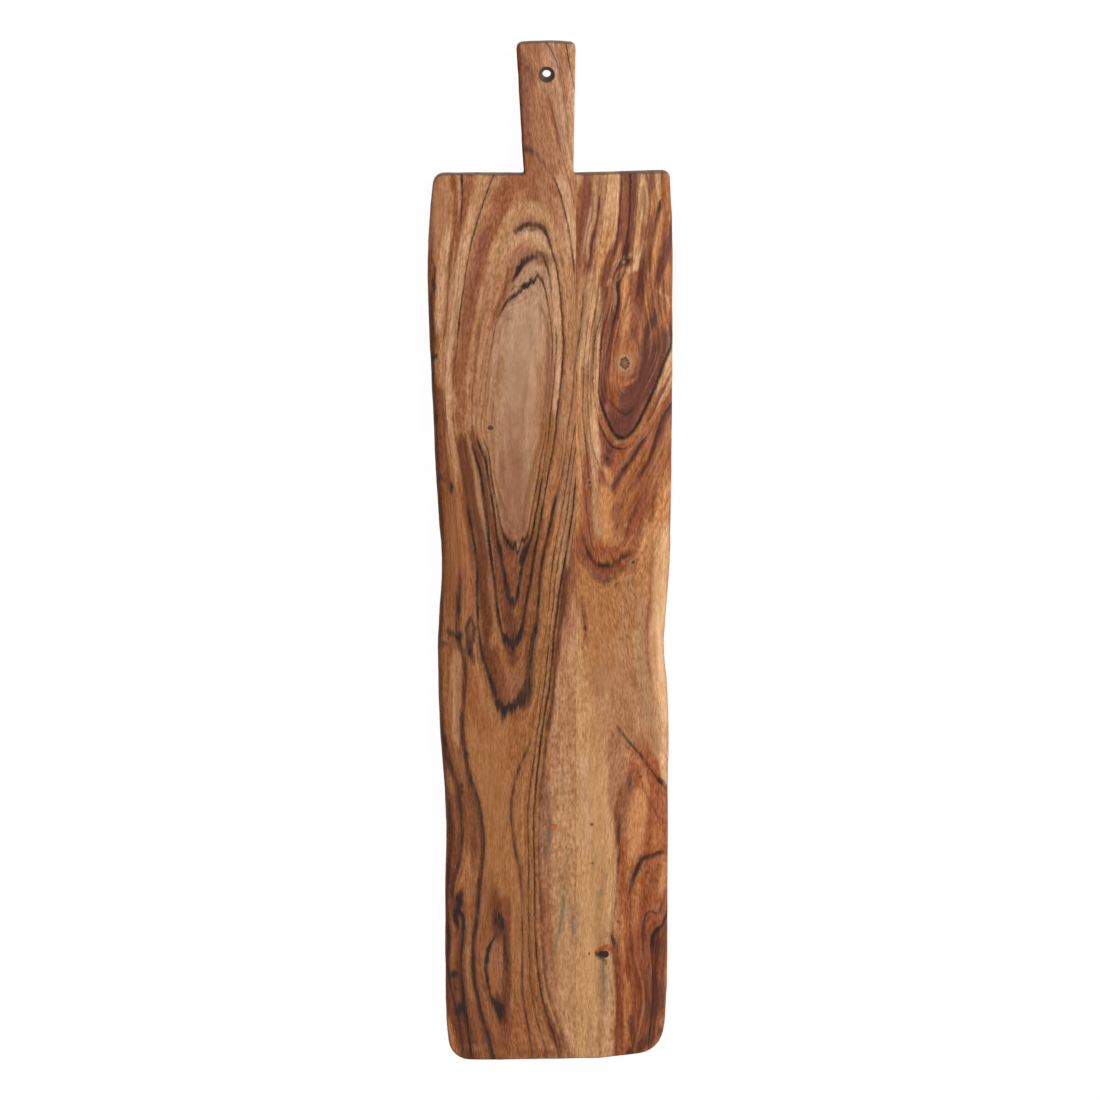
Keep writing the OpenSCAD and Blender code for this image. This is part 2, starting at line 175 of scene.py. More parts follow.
# Brush strokes of tone: name, half width, and the line's places
HANDLE_STROKES = [
    ("honey", 55, [490, 760, 490, 1030]),
    ("honey", 30, [535, 470, 525, 600, 530, 720]),
    ("amber", 40, [495, 920, 500, 1050]),
    ("straw", 30, [475, 260, 470, 330, 475, 400]),
    ("russet", 12, [527, 52, 528, 110, 532, 160]),
    ("plum", 7, [521, 65, 524, 98]),
    ("plum", 5, [524, 118, 526, 135]),
    ("tan", 6, [530, 55, 534, 62]),
    ("tan", 8, [538, 108, 541, 142]),
    ("rose", 7, [552, 52, 554, 80, 558, 102, 563, 135]),
    ("pale", 4, [573, 52, 571, 100, 570, 160]),
    ("straw", 4, [540, 87, 548, 99]),
    ("russet", 3, [549, 106, 553, 122, 556, 138]),
    ("tan", 7, [550, 150, 556, 168]),
    ("chestnut", 3, [517, 48, 518, 80, 520, 120, 523, 168]),
    ("buff", 14, [440, 180, 438, 215, 436, 258]),
    ("amber", 3, [454, 178, 457, 195, 456, 215, 454, 240]),
    ("brown", 4, [431, 262, 433, 300, 435, 335]),
    ("pale", 5, [447, 248, 445, 270, 442, 294, 440, 314]),
    ("brown", 2, [456, 215, 453, 245, 451, 275, 448, 305, 445, 335]),
    ("straw", 3, [457, 250, 455, 280, 452, 310, 449, 345]),
    ("redwood", 4, [470, 178, 467, 200, 463, 225, 460, 250, 458, 270]),
    ("sap", 5, [481, 180, 476, 200, 470, 222, 466, 242]),
    ("pale", 5, [466, 242, 462, 265, 458, 290, 455, 318, 452, 345, 450, 375, 451, 410]),
    ("sap", 3, [452, 410, 455, 440, 459, 468]),
    ("redwood", 9, [508, 188, 502, 205, 492, 226, 484, 247, 477, 270, 472, 298, 467, 325, 463, 355]),
    ("redwood", 5, [463, 355, 460, 390, 461, 420]),
    ("wine", 3, [487, 232, 480, 256, 474, 284, 469, 310, 465, 335]),
    ("redwood", 7, [509, 188, 517, 183, 528, 182, 540, 187]),
    ("tan", 6, [541, 186, 551, 202, 558, 222]),
    ("sap", 7, [498, 256, 504, 236, 513, 218, 522, 210, 533, 210, 543, 218, 552, 236, 558, 255]),
    ("pale", 7, [510, 244, 519, 236, 530, 234, 541, 240, 548, 258, 552, 280]),
    ("buff", 6, [510, 256, 503, 274, 496, 296, 489, 320, 484, 345, 481, 375]),
    ("tan", 5, [520, 252, 514, 262, 507, 282]),
    ("russet", 4, [514, 264, 509, 282, 502, 300, 496, 320]),
    ("straw", 3, [492, 256, 487, 280, 481, 304, 475, 332, 472, 360, 469, 388]),
    ("tan", 3, [478, 340, 474, 365, 471, 395]),
    ("rose", 5, [523, 277, 533, 271, 541, 266]),
    ("pale", 4, [553, 268, 556, 295, 557, 330, 558, 365, 556, 395]),
    ("straw", 7, [565, 265, 568, 300, 569, 340, 568, 380, 564, 410]),
    ("pale", 5, [560, 182, 566, 200, 570, 220, 572, 242]),
    ("tan", 2, [563, 330, 563, 370, 561, 405]),
    ("rose", 9, [524, 296, 512, 308, 505, 325]),
    ("eye_light", 19, [528, 308, 524, 335, 519, 372, 517, 410]),
    ("eye", 20, [516, 430, 515, 458]),
    ("eye_dark", 14, [513, 485, 514, 505, 514, 528]),
    ("rose", 4, [500, 335, 495, 360, 492, 395, 491, 415]),
    ("eye_dark", 3, [548, 345, 548, 375, 545, 415]),
    ("eye_dark", 7, [520, 259, 530, 256, 540, 258]),
    ("ink", 2, [517, 275, 521, 267]),
    ("smoke", 2, [522, 286, 529, 284]),
    ("brown", 13, [447, 505, 452, 540, 454, 580, 450, 612]),
    ("umber", 5, [440, 400, 443, 440, 447, 470]),
    ("amber", 7, [463, 505, 467, 540, 468, 580, 470, 608]),
    ("chestnut", 6, [463, 445, 466, 462, 470, 485, 474, 508, 479, 532, 482, 555]),
    ("chestnut", 6, [483, 560, 485, 600, 486, 632]),
    ("umber", 3, [473, 432, 479, 455, 484, 480, 489, 510, 494, 540, 497, 562]),
    ("russet", 3, [500, 545, 506, 570]),
    ("umber", 8, [509, 558, 511, 582]),
    ("chestnut", 7, [508, 610, 512, 628]),
    ("umber", 4, [503, 605, 499, 575]),
    ("umber", 6, [495, 655, 501, 680, 504, 694]),
    ("chestnut", 4, [488, 650, 495, 680]),
    ("umber", 6, [512, 660, 514, 668]),
    ("russet", 7, [513, 675, 512, 692]),
    ("umber", 4, [530, 545, 526, 580, 521, 620]),
    ("brown", 4, [541, 530, 536, 570, 531, 610, 526, 650]),
    ("honey", 4, [553, 510, 547, 550, 543, 590, 540, 630, 536, 670, 531, 705]),
    ("straw", 3, [566, 440, 561, 480, 557, 505]),
    ("sap", 3, [571, 470, 568, 500, 563, 535, 557, 570]),
    ("chestnut", 4, [566, 575, 563, 605, 560, 635]),
    ("umber", 3, [558, 650, 554, 700, 550, 720]),
    ("brown", 4, [572, 555, 569, 590, 565, 620]),
    ("honey", 15, [473, 705, 478, 742, 487, 775, 495, 815, 497, 855]),
    ("amber", 9, [474, 690, 482, 720]),
    ("amber", 8, [519, 722, 516, 745]),
    ("brown", 7, [448, 660, 449, 700, 453, 745]),
    ("straw", 4, [457, 662, 456, 700, 457, 735]),
    ("brown", 5, [448, 640, 456, 645]),
    ("amber", 4, [441, 650, 442, 700, 446, 760, 450, 790]),
    ("umber", 4, [470, 625, 470, 642]),
    ("smoke", 1.5, [467, 640, 466, 628, 470, 617, 474, 628, 473, 640]),
    ("smoke", 3, [469, 648, 470, 655]),
    ("brown", 5, [455, 755, 462, 785]),
    ("umber", 8, [467, 798, 472, 828, 472, 842]),
    ("honey", 7, [466, 870, 469, 895]),
    ("umber", 5, [452, 812, 453, 850, 450, 890, 449, 930]),
    ("umber", 4, [458, 805, 459, 840, 455, 872]),
    ("umber", 6, [458, 925, 459, 968]),
    ("umber", 4, [479, 895, 477, 935, 477, 975, 481, 1000]),
    ("brown", 7, [489, 895, 484, 935, 480, 985, 487, 1015]),
    ("honey", 3, [469, 920, 467, 960, 468, 1000, 472, 1030]),
    ("chestnut", 6, [497, 910, 498, 935]),
    ("umber", 8, [507, 930, 508, 985, 505, 1015]),
    ("russet", 5, [497, 952, 497, 975, 499, 992]),
    ("ink", 1.5, [493, 941, 488, 952, 486, 966, 487, 984, 491, 999]),
    ("smoke", 2, [504, 935, 505, 975]),
    ("smoke", 5, [502, 1018, 505, 1028]),
    ("honey", 6, [514, 870, 516, 920, 515, 965, 513, 1000]),
    ("chestnut", 4, [506, 938, 507, 962, 506, 995]),
    ("chestnut", 9, [459, 990, 462, 1020, 470, 1045]),
    ("chestnut", 6, [456, 1020, 463, 1048]),
    ("umber", 9, [478, 1025, 490, 1050]),
    ("umber", 7, [506, 1030, 503, 1048]),
    ("amber", 4, [517, 1010, 521, 1048]),
    ("honey", 4, [520, 830, 524, 880, 525, 940, 526, 985]),
    ("tan", 9, [568, 640, 564, 690, 560, 720]),
    ("sap", 8, [571, 660, 568, 700]),
    ("straw", 12, [566, 700, 563, 790]),
    ("sap", 12, [561, 800, 562, 850]),
    ("eye_dark", 5, [545, 795, 544, 850, 547, 900]),
    ("sap", 8, [566, 815, 567, 865]),
    ("sap", 11, [562, 900, 565, 960, 573, 1022]),
    ("tan", 5, [543, 870, 547, 930, 550, 990]),
    ("russet", 4, [544, 905, 547, 960]),
    ("umber", 5, [545, 1015, 552, 1035, 560, 1052]),
    ("ink", 3, [525, 550, 521, 560]),
    ("chestnut", 5, [511, 650, 512, 658]),
    ("ink", 4, [459, 904, 457, 917]),
    ("smoke", 2, [464, 918, 463, 945]),
    ("chestnut", 4, [506, 985, 505, 1008]),
    # Painted shade along the foot's bottom edge, where the face rolls under
    ("brown", 4, [476, 1052, 505, 1056, 545, 1057]),
    # Painted shade along the left edge, which rolls away from the lamp
    ("chestnut", 3, [431, 300, 433, 370, 436, 430, 438, 470, 441, 520, 442, 560, 441, 600, 439, 640]),
    ("umber", 2, [439, 650, 441, 700, 445, 770, 447, 830, 446, 900, 447, 970, 450, 1020]),
]
# Dark smudges: place, half width, half length, turn from upright in degrees, darkness
HANDLE_SMUDGES = [
    (518, 270, 3, 7, -25, 0.9), (525, 261, 5, 7, -45, 0.7), (533, 257, 5, 6, -60, 0.6),
    (520, 252, 6, 5, 0, 0.3), (541, 259, 3, 7, 20, 0.45), (531, 230, 10, 4, 5, 0.65),
    (525, 286, 4, 8, -70, 0.7), (513, 297, 3, 9, -45, 0.7), (506, 535, 3, 6, 0, 0.45),
    (513, 547, 6, 7, 0, 0.6), (522, 540, 6, 3, 0, 0.45), (525, 552, 4, 6, -20, 0.45),
    (513, 600, 4, 8, 0, 0.7), (507, 638, 4, 6, 0, 0.6), (513, 641, 6, 6, 0, 0.75), (519, 636, 4, 6, 0, 0.6),
    (511, 655, 6, 9, 0, 0.3), (498, 703, 5, 6, 20, 0.75), (493, 688, 4, 9, 15, 0.55),
    (505, 710, 8, 6, 0, 0.75), (503, 719, 4, 7, 0, 0.7), (513, 706, 5, 5, -30, 0.65),
    (436, 270, 2, 9, 0, 0.5), (435, 286, 3, 14, 0, 0.8), (436, 356, 4, 5, 0, 0.85),
    (434, 372, 3, 11, 0, 0.6), (437, 417, 3, 8, 0, 0.65), (437, 438, 3, 9, 0, 0.5),
    (442, 477, 6, 7, 20, 0.6), (452, 488, 3, 9, 0, 0.9), (460, 590, 2, 9, 0, 0.7),
    (459, 608, 3, 7, 0, 0.75), (453, 634, 5, 6, 30, 0.8), (460, 637, 4, 7, 0, 0.9),
    (448, 630, 3, 5, 0, 0.6), (444, 643, 6, 6, 0, 0.6), (470, 652, 3, 6, 0, 0.85), (469, 642, 4, 7, 0, 0.5),
    (466, 755, 4, 7, 0, 0.75), (462, 786, 2, 5, 0, 0.8), (462, 793, 2, 4, 0, 0.6),
    (496, 922, 6, 16, 5, 0.75), (502, 925, 3, 13, 0, 0.8), (507, 965, 3, 28, 0, 0.5),
    (489, 950, 3, 7, -20, 0.95), (487, 962, 3, 7, 0, 0.95), (487, 984, 3, 12, 10, 0.7),
    (493, 1004, 4, 9, 30, 0.9), (498, 1011, 5, 6, 0, 0.95), (501, 1019, 6, 11, 0, 0.75),
    (505, 1000, 3, 9, 0, 0.5), (504, 955, 2, 20, 0, 0.6), (458, 912, 4, 8, 0, 0.95),
    (462, 905, 3, 6, 0, 0.7), (464, 926, 3, 11, 0, 0.6), (454, 976, 4, 6, 0, 0.9), (455, 992, 2, 8, 0, 0.7),
    (460, 1012, 7, 9, 0, 0.85), (463, 1000, 3, 18, 0, 0.65), (465, 1024, 3, 8, 0, 0.6),
    (509, 1052, 2, 6, 10, 0.7), (488, 1052, 4, 7, 0, 0.5), (527, 70, 5, 4, 0, 0.55),
    (536, 80, 3, 8, 40, 0.45), (529, 152, 6, 4, 0, 0.6),
]
# Where the dark wood breaks into flames along the fibres, as spots like the smudges
HANDLE_FLAMES = [
    (515, 545, 16, 16, 0, 1.0), (512, 600, 8, 14, 0, 0.7), (512, 642, 14, 14, 0, 1.0),
    (505, 710, 20, 14, 0, 1.0), (497, 925, 10, 20, 0, 0.8), (497, 1010, 12, 16, 0, 0.9),
    (455, 634, 12, 10, 0, 0.7), (522, 280, 20, 14, 0, 0.6),
]
# Smooth stretches with few open pores
HANDLE_CALM = [
    (522, 375, 30, 85, 0, 1.0), (514, 480, 20, 60, 0, 0.9), (455, 545, 14, 60, 0, 0.9),
    (490, 790, 18, 90, 0, 0.7), (438, 215, 12, 40, 0, 0.8), (475, 520, 10, 90, 10, 0.6),
    (513, 890, 10, 60, 0, 0.5), (562, 960, 10, 60, 10, 0.5),
]
# Stretches with strong stripes along the fibres
HANDLE_STRIPES = [
    (455, 300, 12, 90, 8, 0.4), (482, 370, 10, 60, 5, 0.5), (478, 520, 16, 90, -8, 0.7),
    (560, 450, 12, 90, 6, 0.5), (455, 720, 14, 80, 0, 0.5), (468, 960, 24, 90, 0, 0.5),
    (525, 900, 12, 120, 0, 0.3), (550, 120, 16, 60, -5, 0.3),
]
# Grey mineral stains
HANDLE_GREYS = [
    (549, 832, 2.3, 22, -5, 0.9), (548, 795, 4, 12, 0, 0.5), (563, 890, 2.2, 30, -3, 0.95),
    (559, 929, 2.2, 24, -12, 0.95), (572, 926, 2.2, 22, 5, 0.8), (553, 745, 2, 14, 0, 0.4),
    (562, 782, 2, 14, 0, 0.5),
]
# Lines that the fibres follow, from the handle's end to the foot, in order across the stave
HANDLE_FIBRES = [
    [429, 45, 430, 175, 429, 250, 434, 400, 440, 510, 439, 640, 445, 790, 445, 950, 455, 1058],
    [480, 45, 478, 175, 466, 260, 453, 350, 450, 410, 460, 500, 468, 640, 476, 800, 492, 1058],
    [515, 45, 526, 180, 522, 300, 520, 400, 512, 600, 500, 800, 496, 1000, 505, 1058],
    [548, 45, 563, 150, 572, 300, 573, 505, 558, 601, 544, 748, 534, 843, 539, 989, 557, 1055],
    [575, 45, 576, 300, 576, 1058],
]


def on_board(points):
    """Places in photograph pixels, across and down by turns, as metres on the board's face."""
    return (np.reshape(points, (-1, 2)) - PHOTO_MIDDLE) * (PIXEL, -PIXEL)


def linear(colour):
    """A screen colour, 0 to 255, as the linear light that it stands for."""
    shares = np.array(colour, float) / 255
    return np.where(shares <= 0.04045, shares / 12.92, ((shares + 0.055) / 1.055) ** 2.4)


def smooth_step(values, start, end):
    """A soft change from 0 at start to 1 at end."""
    share = np.clip((values - start) / (end - start), 0, 1)
    return share * share * (3 - 2 * share)


def walk(points, step):
    """Evenly spaced places along a drawn line."""
    line = on_board(points)
    along = np.concatenate([[0], np.cumsum(np.hypot(*np.diff(line, axis=0).T))])
    stops = np.linspace(0, along[-1], max(2, round(along[-1] / step) + 1))
    return np.column_stack([np.interp(stops, along, line[:, 0]), np.interp(stops, along, line[:, 1])])


def guide_places(rings):
    """The drawn rings as rows of place across, place along, ring number, darkness and breadth."""
    rows = []
    for number, darkness, breadth, points in rings:
        places = walk(points, step=0.006)
        rows.append(np.column_stack([places, np.tile([number, darkness, breadth], (len(places), 1))]))
    return np.vstack(rows)


def handfuls(rows, size=3000):
    """Long rows in parts of about one size, so that a table of all their distances stays small."""
    return np.array_split(rows, max(1, len(rows) // size))


def ring_field(guides):
    """The growth-ring number anywhere on the face, and its slopes, carried between the drawn rings."""
    stretch = np.array((1, 0.4))
    softness = 0.005
    slack = 0.0004
    centres = guides[:, :2] * stretch
    plane = np.column_stack([np.ones(len(centres)), centres])
    reach = np.sqrt(((centres[:, None] - centres[None]) ** 2).sum(2) + softness ** 2)
    system = np.block([[slack * np.eye(len(centres)) - reach, plane], [plane.T, np.zeros((3, 3))]])
    weights = np.linalg.solve(system, np.concatenate([guides[:, 2], np.zeros(3)]))

    def field(places):
        rows = []
        for part in handfuls(places * stretch):
            step = part[:, None] - centres[None]
            far = np.sqrt((step ** 2).sum(2) + softness ** 2)
            ring = weights[-3] + part @ weights[-2:] - far @ weights[:-3]
            pull = weights[:-3] / far
            slopes = (weights[-2:] - np.einsum("ij,ijk->ik", pull, step)) * stretch
            rows.append(np.column_stack([ring, slopes]))
        return np.vstack(rows)

    return field


def line_ink(places, rings, guides):
    """The darkness and breadth of the nearest like ring; the darkness dies out past a drawn line's ends."""
    lengthwise = 0.4
    ring_reach = 0.012
    line_end = 0.007
    softness = 0.002
    result = []
    for part, part_rings in zip(handfuls(places), handfuls(rings)):
        step = (part[:, None] - guides[None, :, :2]) * (1, lengthwise)
        apart = (step ** 2).sum(2) + ((part_rings[:, None] - guides[None, :, 2]) * ring_reach) ** 2
        weight = 1 / (apart + softness ** 2) ** 2
        total = weight.sum(1)
        darkness = weight @ guides[:, 3] / (total + 1 / line_end ** 4)
        result.append(np.column_stack([darkness, weight @ guides[:, 4] / total]))
    return np.vstack(result)


def soft_spots(places, spots):
    """How much of a list of soft oval spots lies at each place, from 0 to 1."""
    bare = np.ones(len(places))
    for x, y, half_width, half_length, turn, strength in spots:
        away = (places - on_board((x, y))) / PIXEL
        lean = math.radians(turn)
        across = away[:, 0] * math.cos(lean) + away[:, 1] * math.sin(lean)
        along = away[:, 1] * math.cos(lean) - away[:, 0] * math.sin(lean)
        bare *= 1 - strength * np.exp(-(across / half_width) ** 2 - (along / half_length) ** 2)
    return 1 - bare


def fibre_places(places, flow_lines):
    """A steady number across the plank that follows the run of its fibres."""
    lines = [on_board(points) for points in flow_lines]
    at = np.array([np.interp(-places[:, 1], -line[:, 1], line[:, 0]) for line in lines])
    rest = at.mean(1)
    result = np.empty(len(places))
    for i, x in enumerate(places[:, 0]):
        result[i] = np.interp(x, at[:, i], rest)
    beyond_low = places[:, 0] < at[0]
    beyond_high = places[:, 0] > at[-1]
    result[beyond_low] += places[beyond_low, 0] - at[0][beyond_low]
    result[beyond_high] += places[beyond_high, 0] - at[-1][beyond_high]
    return result


def stroke_share(places, line, half_width, fray):
    """How much a brush stroke along a line covers each place; its ends draw out and fray along the line."""
    drawn_out = 0.35
    bare, full = 1.35, 0.6
    nearest = np.full(len(places), np.inf)
    last = len(line) - 2
    for k in range(last + 1):
        run = line[k + 1] - line[k]
        length = np.hypot(*run)
        way = run / length
        step = places - line[k]
        along = step @ way
        across = step @ (-way[1], way[0])
        before = np.maximum(0, -along)
        after = np.maximum(0, along - length)
        if k == 0:
            before = np.maximum(0, fray - along) * drawn_out
        if k == last:
            after = np.maximum(0, fray + along - length) * drawn_out
        nearest = np.minimum(nearest, np.hypot(across, before + after))
    return smooth_step(nearest / half_width, bare, full)


def painted(places, rings, base, strokes):
    """Tones laid on in order, each a stroke along its line that frays out between the growth layers."""
    brushes = 4
    frays_per_ring, frays_per_metre, fray_step = 5, 14, 7.3
    waves_across, waves_along, wave_step, wave_start = 160, 30, 3.1, 50
    fray_reach = 4 * PIXEL
    widest_fray = 5
    wave_reach = np.array((2.2, 1.1)) * PIXEL
    brushed = []
    for brush in range(brushes):
        third = brush * fray_step
        pairs = zip(rings * frays_per_ring, places[:, 1] * frays_per_metre)
        fray = np.array([noise.noise((ring, y, third)) for ring, y in pairs])
        third = brush * wave_step + wave_start
        waver = np.array([noise.noise((x, y, third)) for x, y in places * (waves_across, waves_along)])
        brushed.append((fray * fray_reach, waver[:, None] * wave_reach))
    tone = np.tile(linear(TONES[base]), (len(places), 1))
    for k, (name, half_width, points) in enumerate(strokes):
        fray, waver = brushed[k % brushes]
        frayed = fray * min(half_width, widest_fray)
        share = stroke_share(places + waver, on_board(points), half_width * PIXEL, frayed)
        tone += share[:, None] * (linear(TONES[name]) - tone)
    return tone


def slice_up(shape, faces, axis, cuts):
    """Cuts faces along a row of planes square to an axis, the middle plane first."""
    if not cuts or not faces:
        return
    middle = len(cuts) // 2
    place = Vector((0, 0, 0))
    place[axis] = cuts[middle]
    way = Vector((0, 0, 0))
    way[axis] = 1
    edges = list({edge for face in faces for edge in face.edges})
    corners = list({corner for face in faces for corner in face.verts})
    geometry = corners + edges + faces
    cut = bmesh.ops.bisect_plane(shape, geom=geometry, dist=1e-7, plane_co=place, plane_no=way)
    pieces = [part for part in cut["geom"] if isinstance(part, bmesh.types.BMFace)]
    below = [face for face in pieces if face.calc_center_median()[axis] < cuts[middle]]
    above = [face for face in pieces if face.calc_center_median()[axis] >= cuts[middle]]
    slice_up(shape, below, axis, cuts[:middle])
    slice_up(shape, above, axis, cuts[middle + 1:])


def fine_plank(node, name, seam_side):
    """A finely cut copy of a stave's solid, whose outer edges keep the slight ripple of hand sanding."""
    flat_angle, sharp_angle = math.radians(0.2), math.radians(35)
    underside_slope = -0.3
    upper_cells, under_cells = (0.0012, 0.002), (0.004, 0.004)
    ripples = ((55, 0.0003), (190, 0.0001))
    still_edge = 0.01
    shape = bmesh.new()
    shape.from_mesh(frame["nodes"][node].data)
    bmesh.ops.remove_doubles(shape, verts=shape.verts, dist=2e-6)
    bmesh.ops.dissolve_limit(shape, angle_limit=flat_angle, verts=shape.verts, edges=shape.edges)
    shape.normal_update()
    low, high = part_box(node)
    for facing_up, (across, along) in ((True, upper_cells), (False, under_cells)):
        for axis, spacing in ((1, along), (0, across)):
            faces = [face for face in shape.faces if (face.normal.z > underside_slope) == facing_up]
            count = round((high[axis] - low[axis]) / spacing)
            cuts = [low[axis] + (high[axis] - low[axis]) * k / count for k in range(1, count)]
            slice_up(shape, faces, axis, cuts)
    shape.normal_update()
    seam = high[0] if seam_side > 0 else low[0]
    hole = Vector(frame["record"]["mounts"][0]["pos_m"]).xy
    for corner in shape.verts:
        from_seam = min(1, abs(corner.co.x - seam) / still_edge)
        from_hole = min(1, max(0, (corner.co.xy - hole).length / still_edge - 1))
        ripple = sum(noise.noise(corner.co * waves) * height for waves, height in ripples)
        corner.co.xy += corner.normal.xy * ripple * from_seam * from_hole
    shape.normal_update()
    for edge in shape.edges:
        edge.smooth = edge.calc_face_angle(math.pi) < sharp_angle
    for face in shape.faces:
        face.smooth = True
    mesh = bpy.data.meshes.new(name)
    shape.to_mesh(mesh)
    shape.free()
    piece = bpy.data.objects.new(name, mesh)
    bpy.context.scene.collection.objects.link(piece)
    return piece


def draw_figure(piece, rings, base, strokes, spots, flow_lines):
    """Stores on a stave's mesh the growth rings, tones and marks that its wood shows."""
    ring_lean = (0.25, 0.5)
    least_pitch, most_pitch = 0.0012, 0.06
    mesh = piece.data
    count = len(mesh.vertices)
    corners = np.empty(count * 3)
    mesh.vertices.foreach_get("co", corners)
    corners = corners.reshape(-1, 3)
    ways = np.empty(count * 3)
    mesh.vertex_normals.foreach_get("vector", ways)
    ways = ways.reshape(-1, 3)
    # The rings lean through the plank's thickness, so the sides and the underside carry the figure on
    depth = cad_high[2] - corners[:, 2]
    places = corners[:, :2] + depth[:, None] * ring_lean
    guides = guide_places(rings)
    ring, rise_across, rise_along = ring_field(guides)(places).T
    darkness, breadth = line_ink(places, ring, guides).T
    numbers = {
        "ring": ring,
        "rise": rise_along,
        "pitch": np.clip(1 / np.hypot(rise_across, rise_along), least_pitch, most_pitch),
        "darkness": darkness,
        "breadth": breadth,
        "fibre": fibre_places(places, flow_lines),
        "end_grain": np.abs(ways[:, 1]),
    }
    for name, ovals in spots.items():
        numbers[name] = soft_spots(places, ovals)
    for name, values in numbers.items():
        layer = mesh.attributes.new(name, "FLOAT", "POINT")
        layer.data.foreach_set("value", values.astype(np.float32))
    tone = np.column_stack([painted(places, ring, base, strokes), np.ones(count)])
    layer = mesh.attributes.new("tone", "FLOAT_COLOR", "POINT")
    layer.data.foreach_set("color", tone.astype(np.float32).ravel())


def feed(tree, socket, value):
    """Joins a socket to another node's output, or sets it to a plain value."""
    if isinstance(value, bpy.types.NodeSocket):
        tree.links.new(value, socket)
    else:
        socket.default_value = value


def maths(tree, operation, *values):
    """A sum of one, two or three values, as a node."""
    node = tree.nodes.new("ShaderNodeMath")
    node.operation = operation
    for socket, value in zip(node.inputs, values):
        feed(tree, socket, value)
    return node.outputs[0]


def times(tree, product, *others):
    """The product of two or more values."""
    for other in others:
        product = maths(tree, "MULTIPLY", product, other)
    return product


def both_ways(tree, value):
    """Noise moved so that it swings around nothing."""
    return maths(tree, "SUBTRACT", value, 0.5)


def swing(tree, value, strength):
    """A factor that swings around one with a noise value."""
    return maths(tree, "MULTIPLY_ADD", both_ways(tree, value), strength, 1.0)


def to_whole(tree, value):
    """How far a value is from the nearest whole number."""
    return maths(tree, "SUBTRACT", value, maths(tree, "ROUND", value))


def fade(tree, value, start, end, first=0.0, last=1.0):
    """A smooth change from first to last as a value goes from start to end."""
    node = tree.nodes.new("ShaderNodeMapRange")
    node.interpolation_type = "SMOOTHSTEP"
    for socket, item in zip(node.inputs, (value, start, end, first, last)):
        feed(tree, socket, item)
    return node.outputs[0]


def opaque(colour):
    """A screen colour as a node's colour value."""
    return (*linear(colour), 1)


def cover(tree, share, under, over):
    """One colour laid over another by a share."""
    node = tree.nodes.new("ShaderNodeMix")
    node.data_type = "RGBA"
    feed(tree, node.inputs["Factor"], share)
    feed(tree, node.inputs[6], under)
    feed(tree, node.inputs[7], over)
    return node.outputs[2]


def stored(tree, name, output="Fac"):
    """A number or colour that is stored on the mesh."""
    node = tree.nodes.new("ShaderNodeAttribute")
    node.attribute_name = name
    return node.outputs[output]


def joined(tree, *parts):
    """A vector made of its parts."""
    node = tree.nodes.new("ShaderNodeCombineXYZ")
    for socket, part in zip(node.inputs, parts):
        feed(tree, socket, part)
    return node.outputs[0]


def vector_maths(tree, operation, *values):
    """A sum of one or two vectors, as a node."""
    node = tree.nodes.new("ShaderNodeVectorMath")
    node.operation = operation
    for socket, value in zip(node.inputs, values):
        feed(tree, socket, value)
    return node


def grain_noise(tree, vector, sizes, detail):
    """Noise whose grains have the given sizes along the vector's axes."""
    scaled = vector_maths(tree, "MULTIPLY", vector, [1 / size for size in sizes])
    node = tree.nodes.new("ShaderNodeTexNoise")
    feed(tree, node.inputs["Vector"], scaled.outputs[0])
    node.inputs["Scale"].default_value = 1
    node.inputs["Detail"].default_value = detail
    return node.outputs["Fac"]


def fibre_noise(tree, grain, name):
    """One of the grains that run with the fibres."""
    across, along, detail = FIBRE_GRAINS[name]
    return grain_noise(tree, grain, (across, along, across), detail)


def ring_noise(tree, layers, name):
    """One of the grains that run with the rings."""
    across, along, detail = RING_GRAINS[name]
    return grain_noise(tree, layers, (across, along, 1), detail)


def ring_place(tree, place, grain, pitch):
    """The growth-ring number, moved by the flames, the sway and the rough edges that real rings have."""
    flame_reach, plain_reach = 0.036, 0.0022
    sway_reach, rough_reach = 0.0012, 0.0016
    rough_sizes, rough_detail = (0.0016, 0.0026, 0.0016), 2
    # Bundles of fibres carry a ring's dark wood up or down, which makes the flames at the tips
    reach = maths(tree, "MULTIPLY_ADD", stored(tree, "toothed"), flame_reach, plain_reach)
    shift = times(tree, both_ways(tree, fibre_noise(tree, grain, "bundles")), reach)
    ring = maths(tree, "MULTIPLY_ADD", stored(tree, "rise"), shift, stored(tree, "ring"))
    sway = times(tree, both_ways(tree, fibre_noise(tree, grain, "sway")), sway_reach)
    rough = times(tree, both_ways(tree, grain_noise(tree, place, rough_sizes, rough_detail)), rough_reach)
    for move in (sway, rough):
        ring = maths(tree, "ADD", ring, maths(tree, "DIVIDE", move, pitch))
    return ring


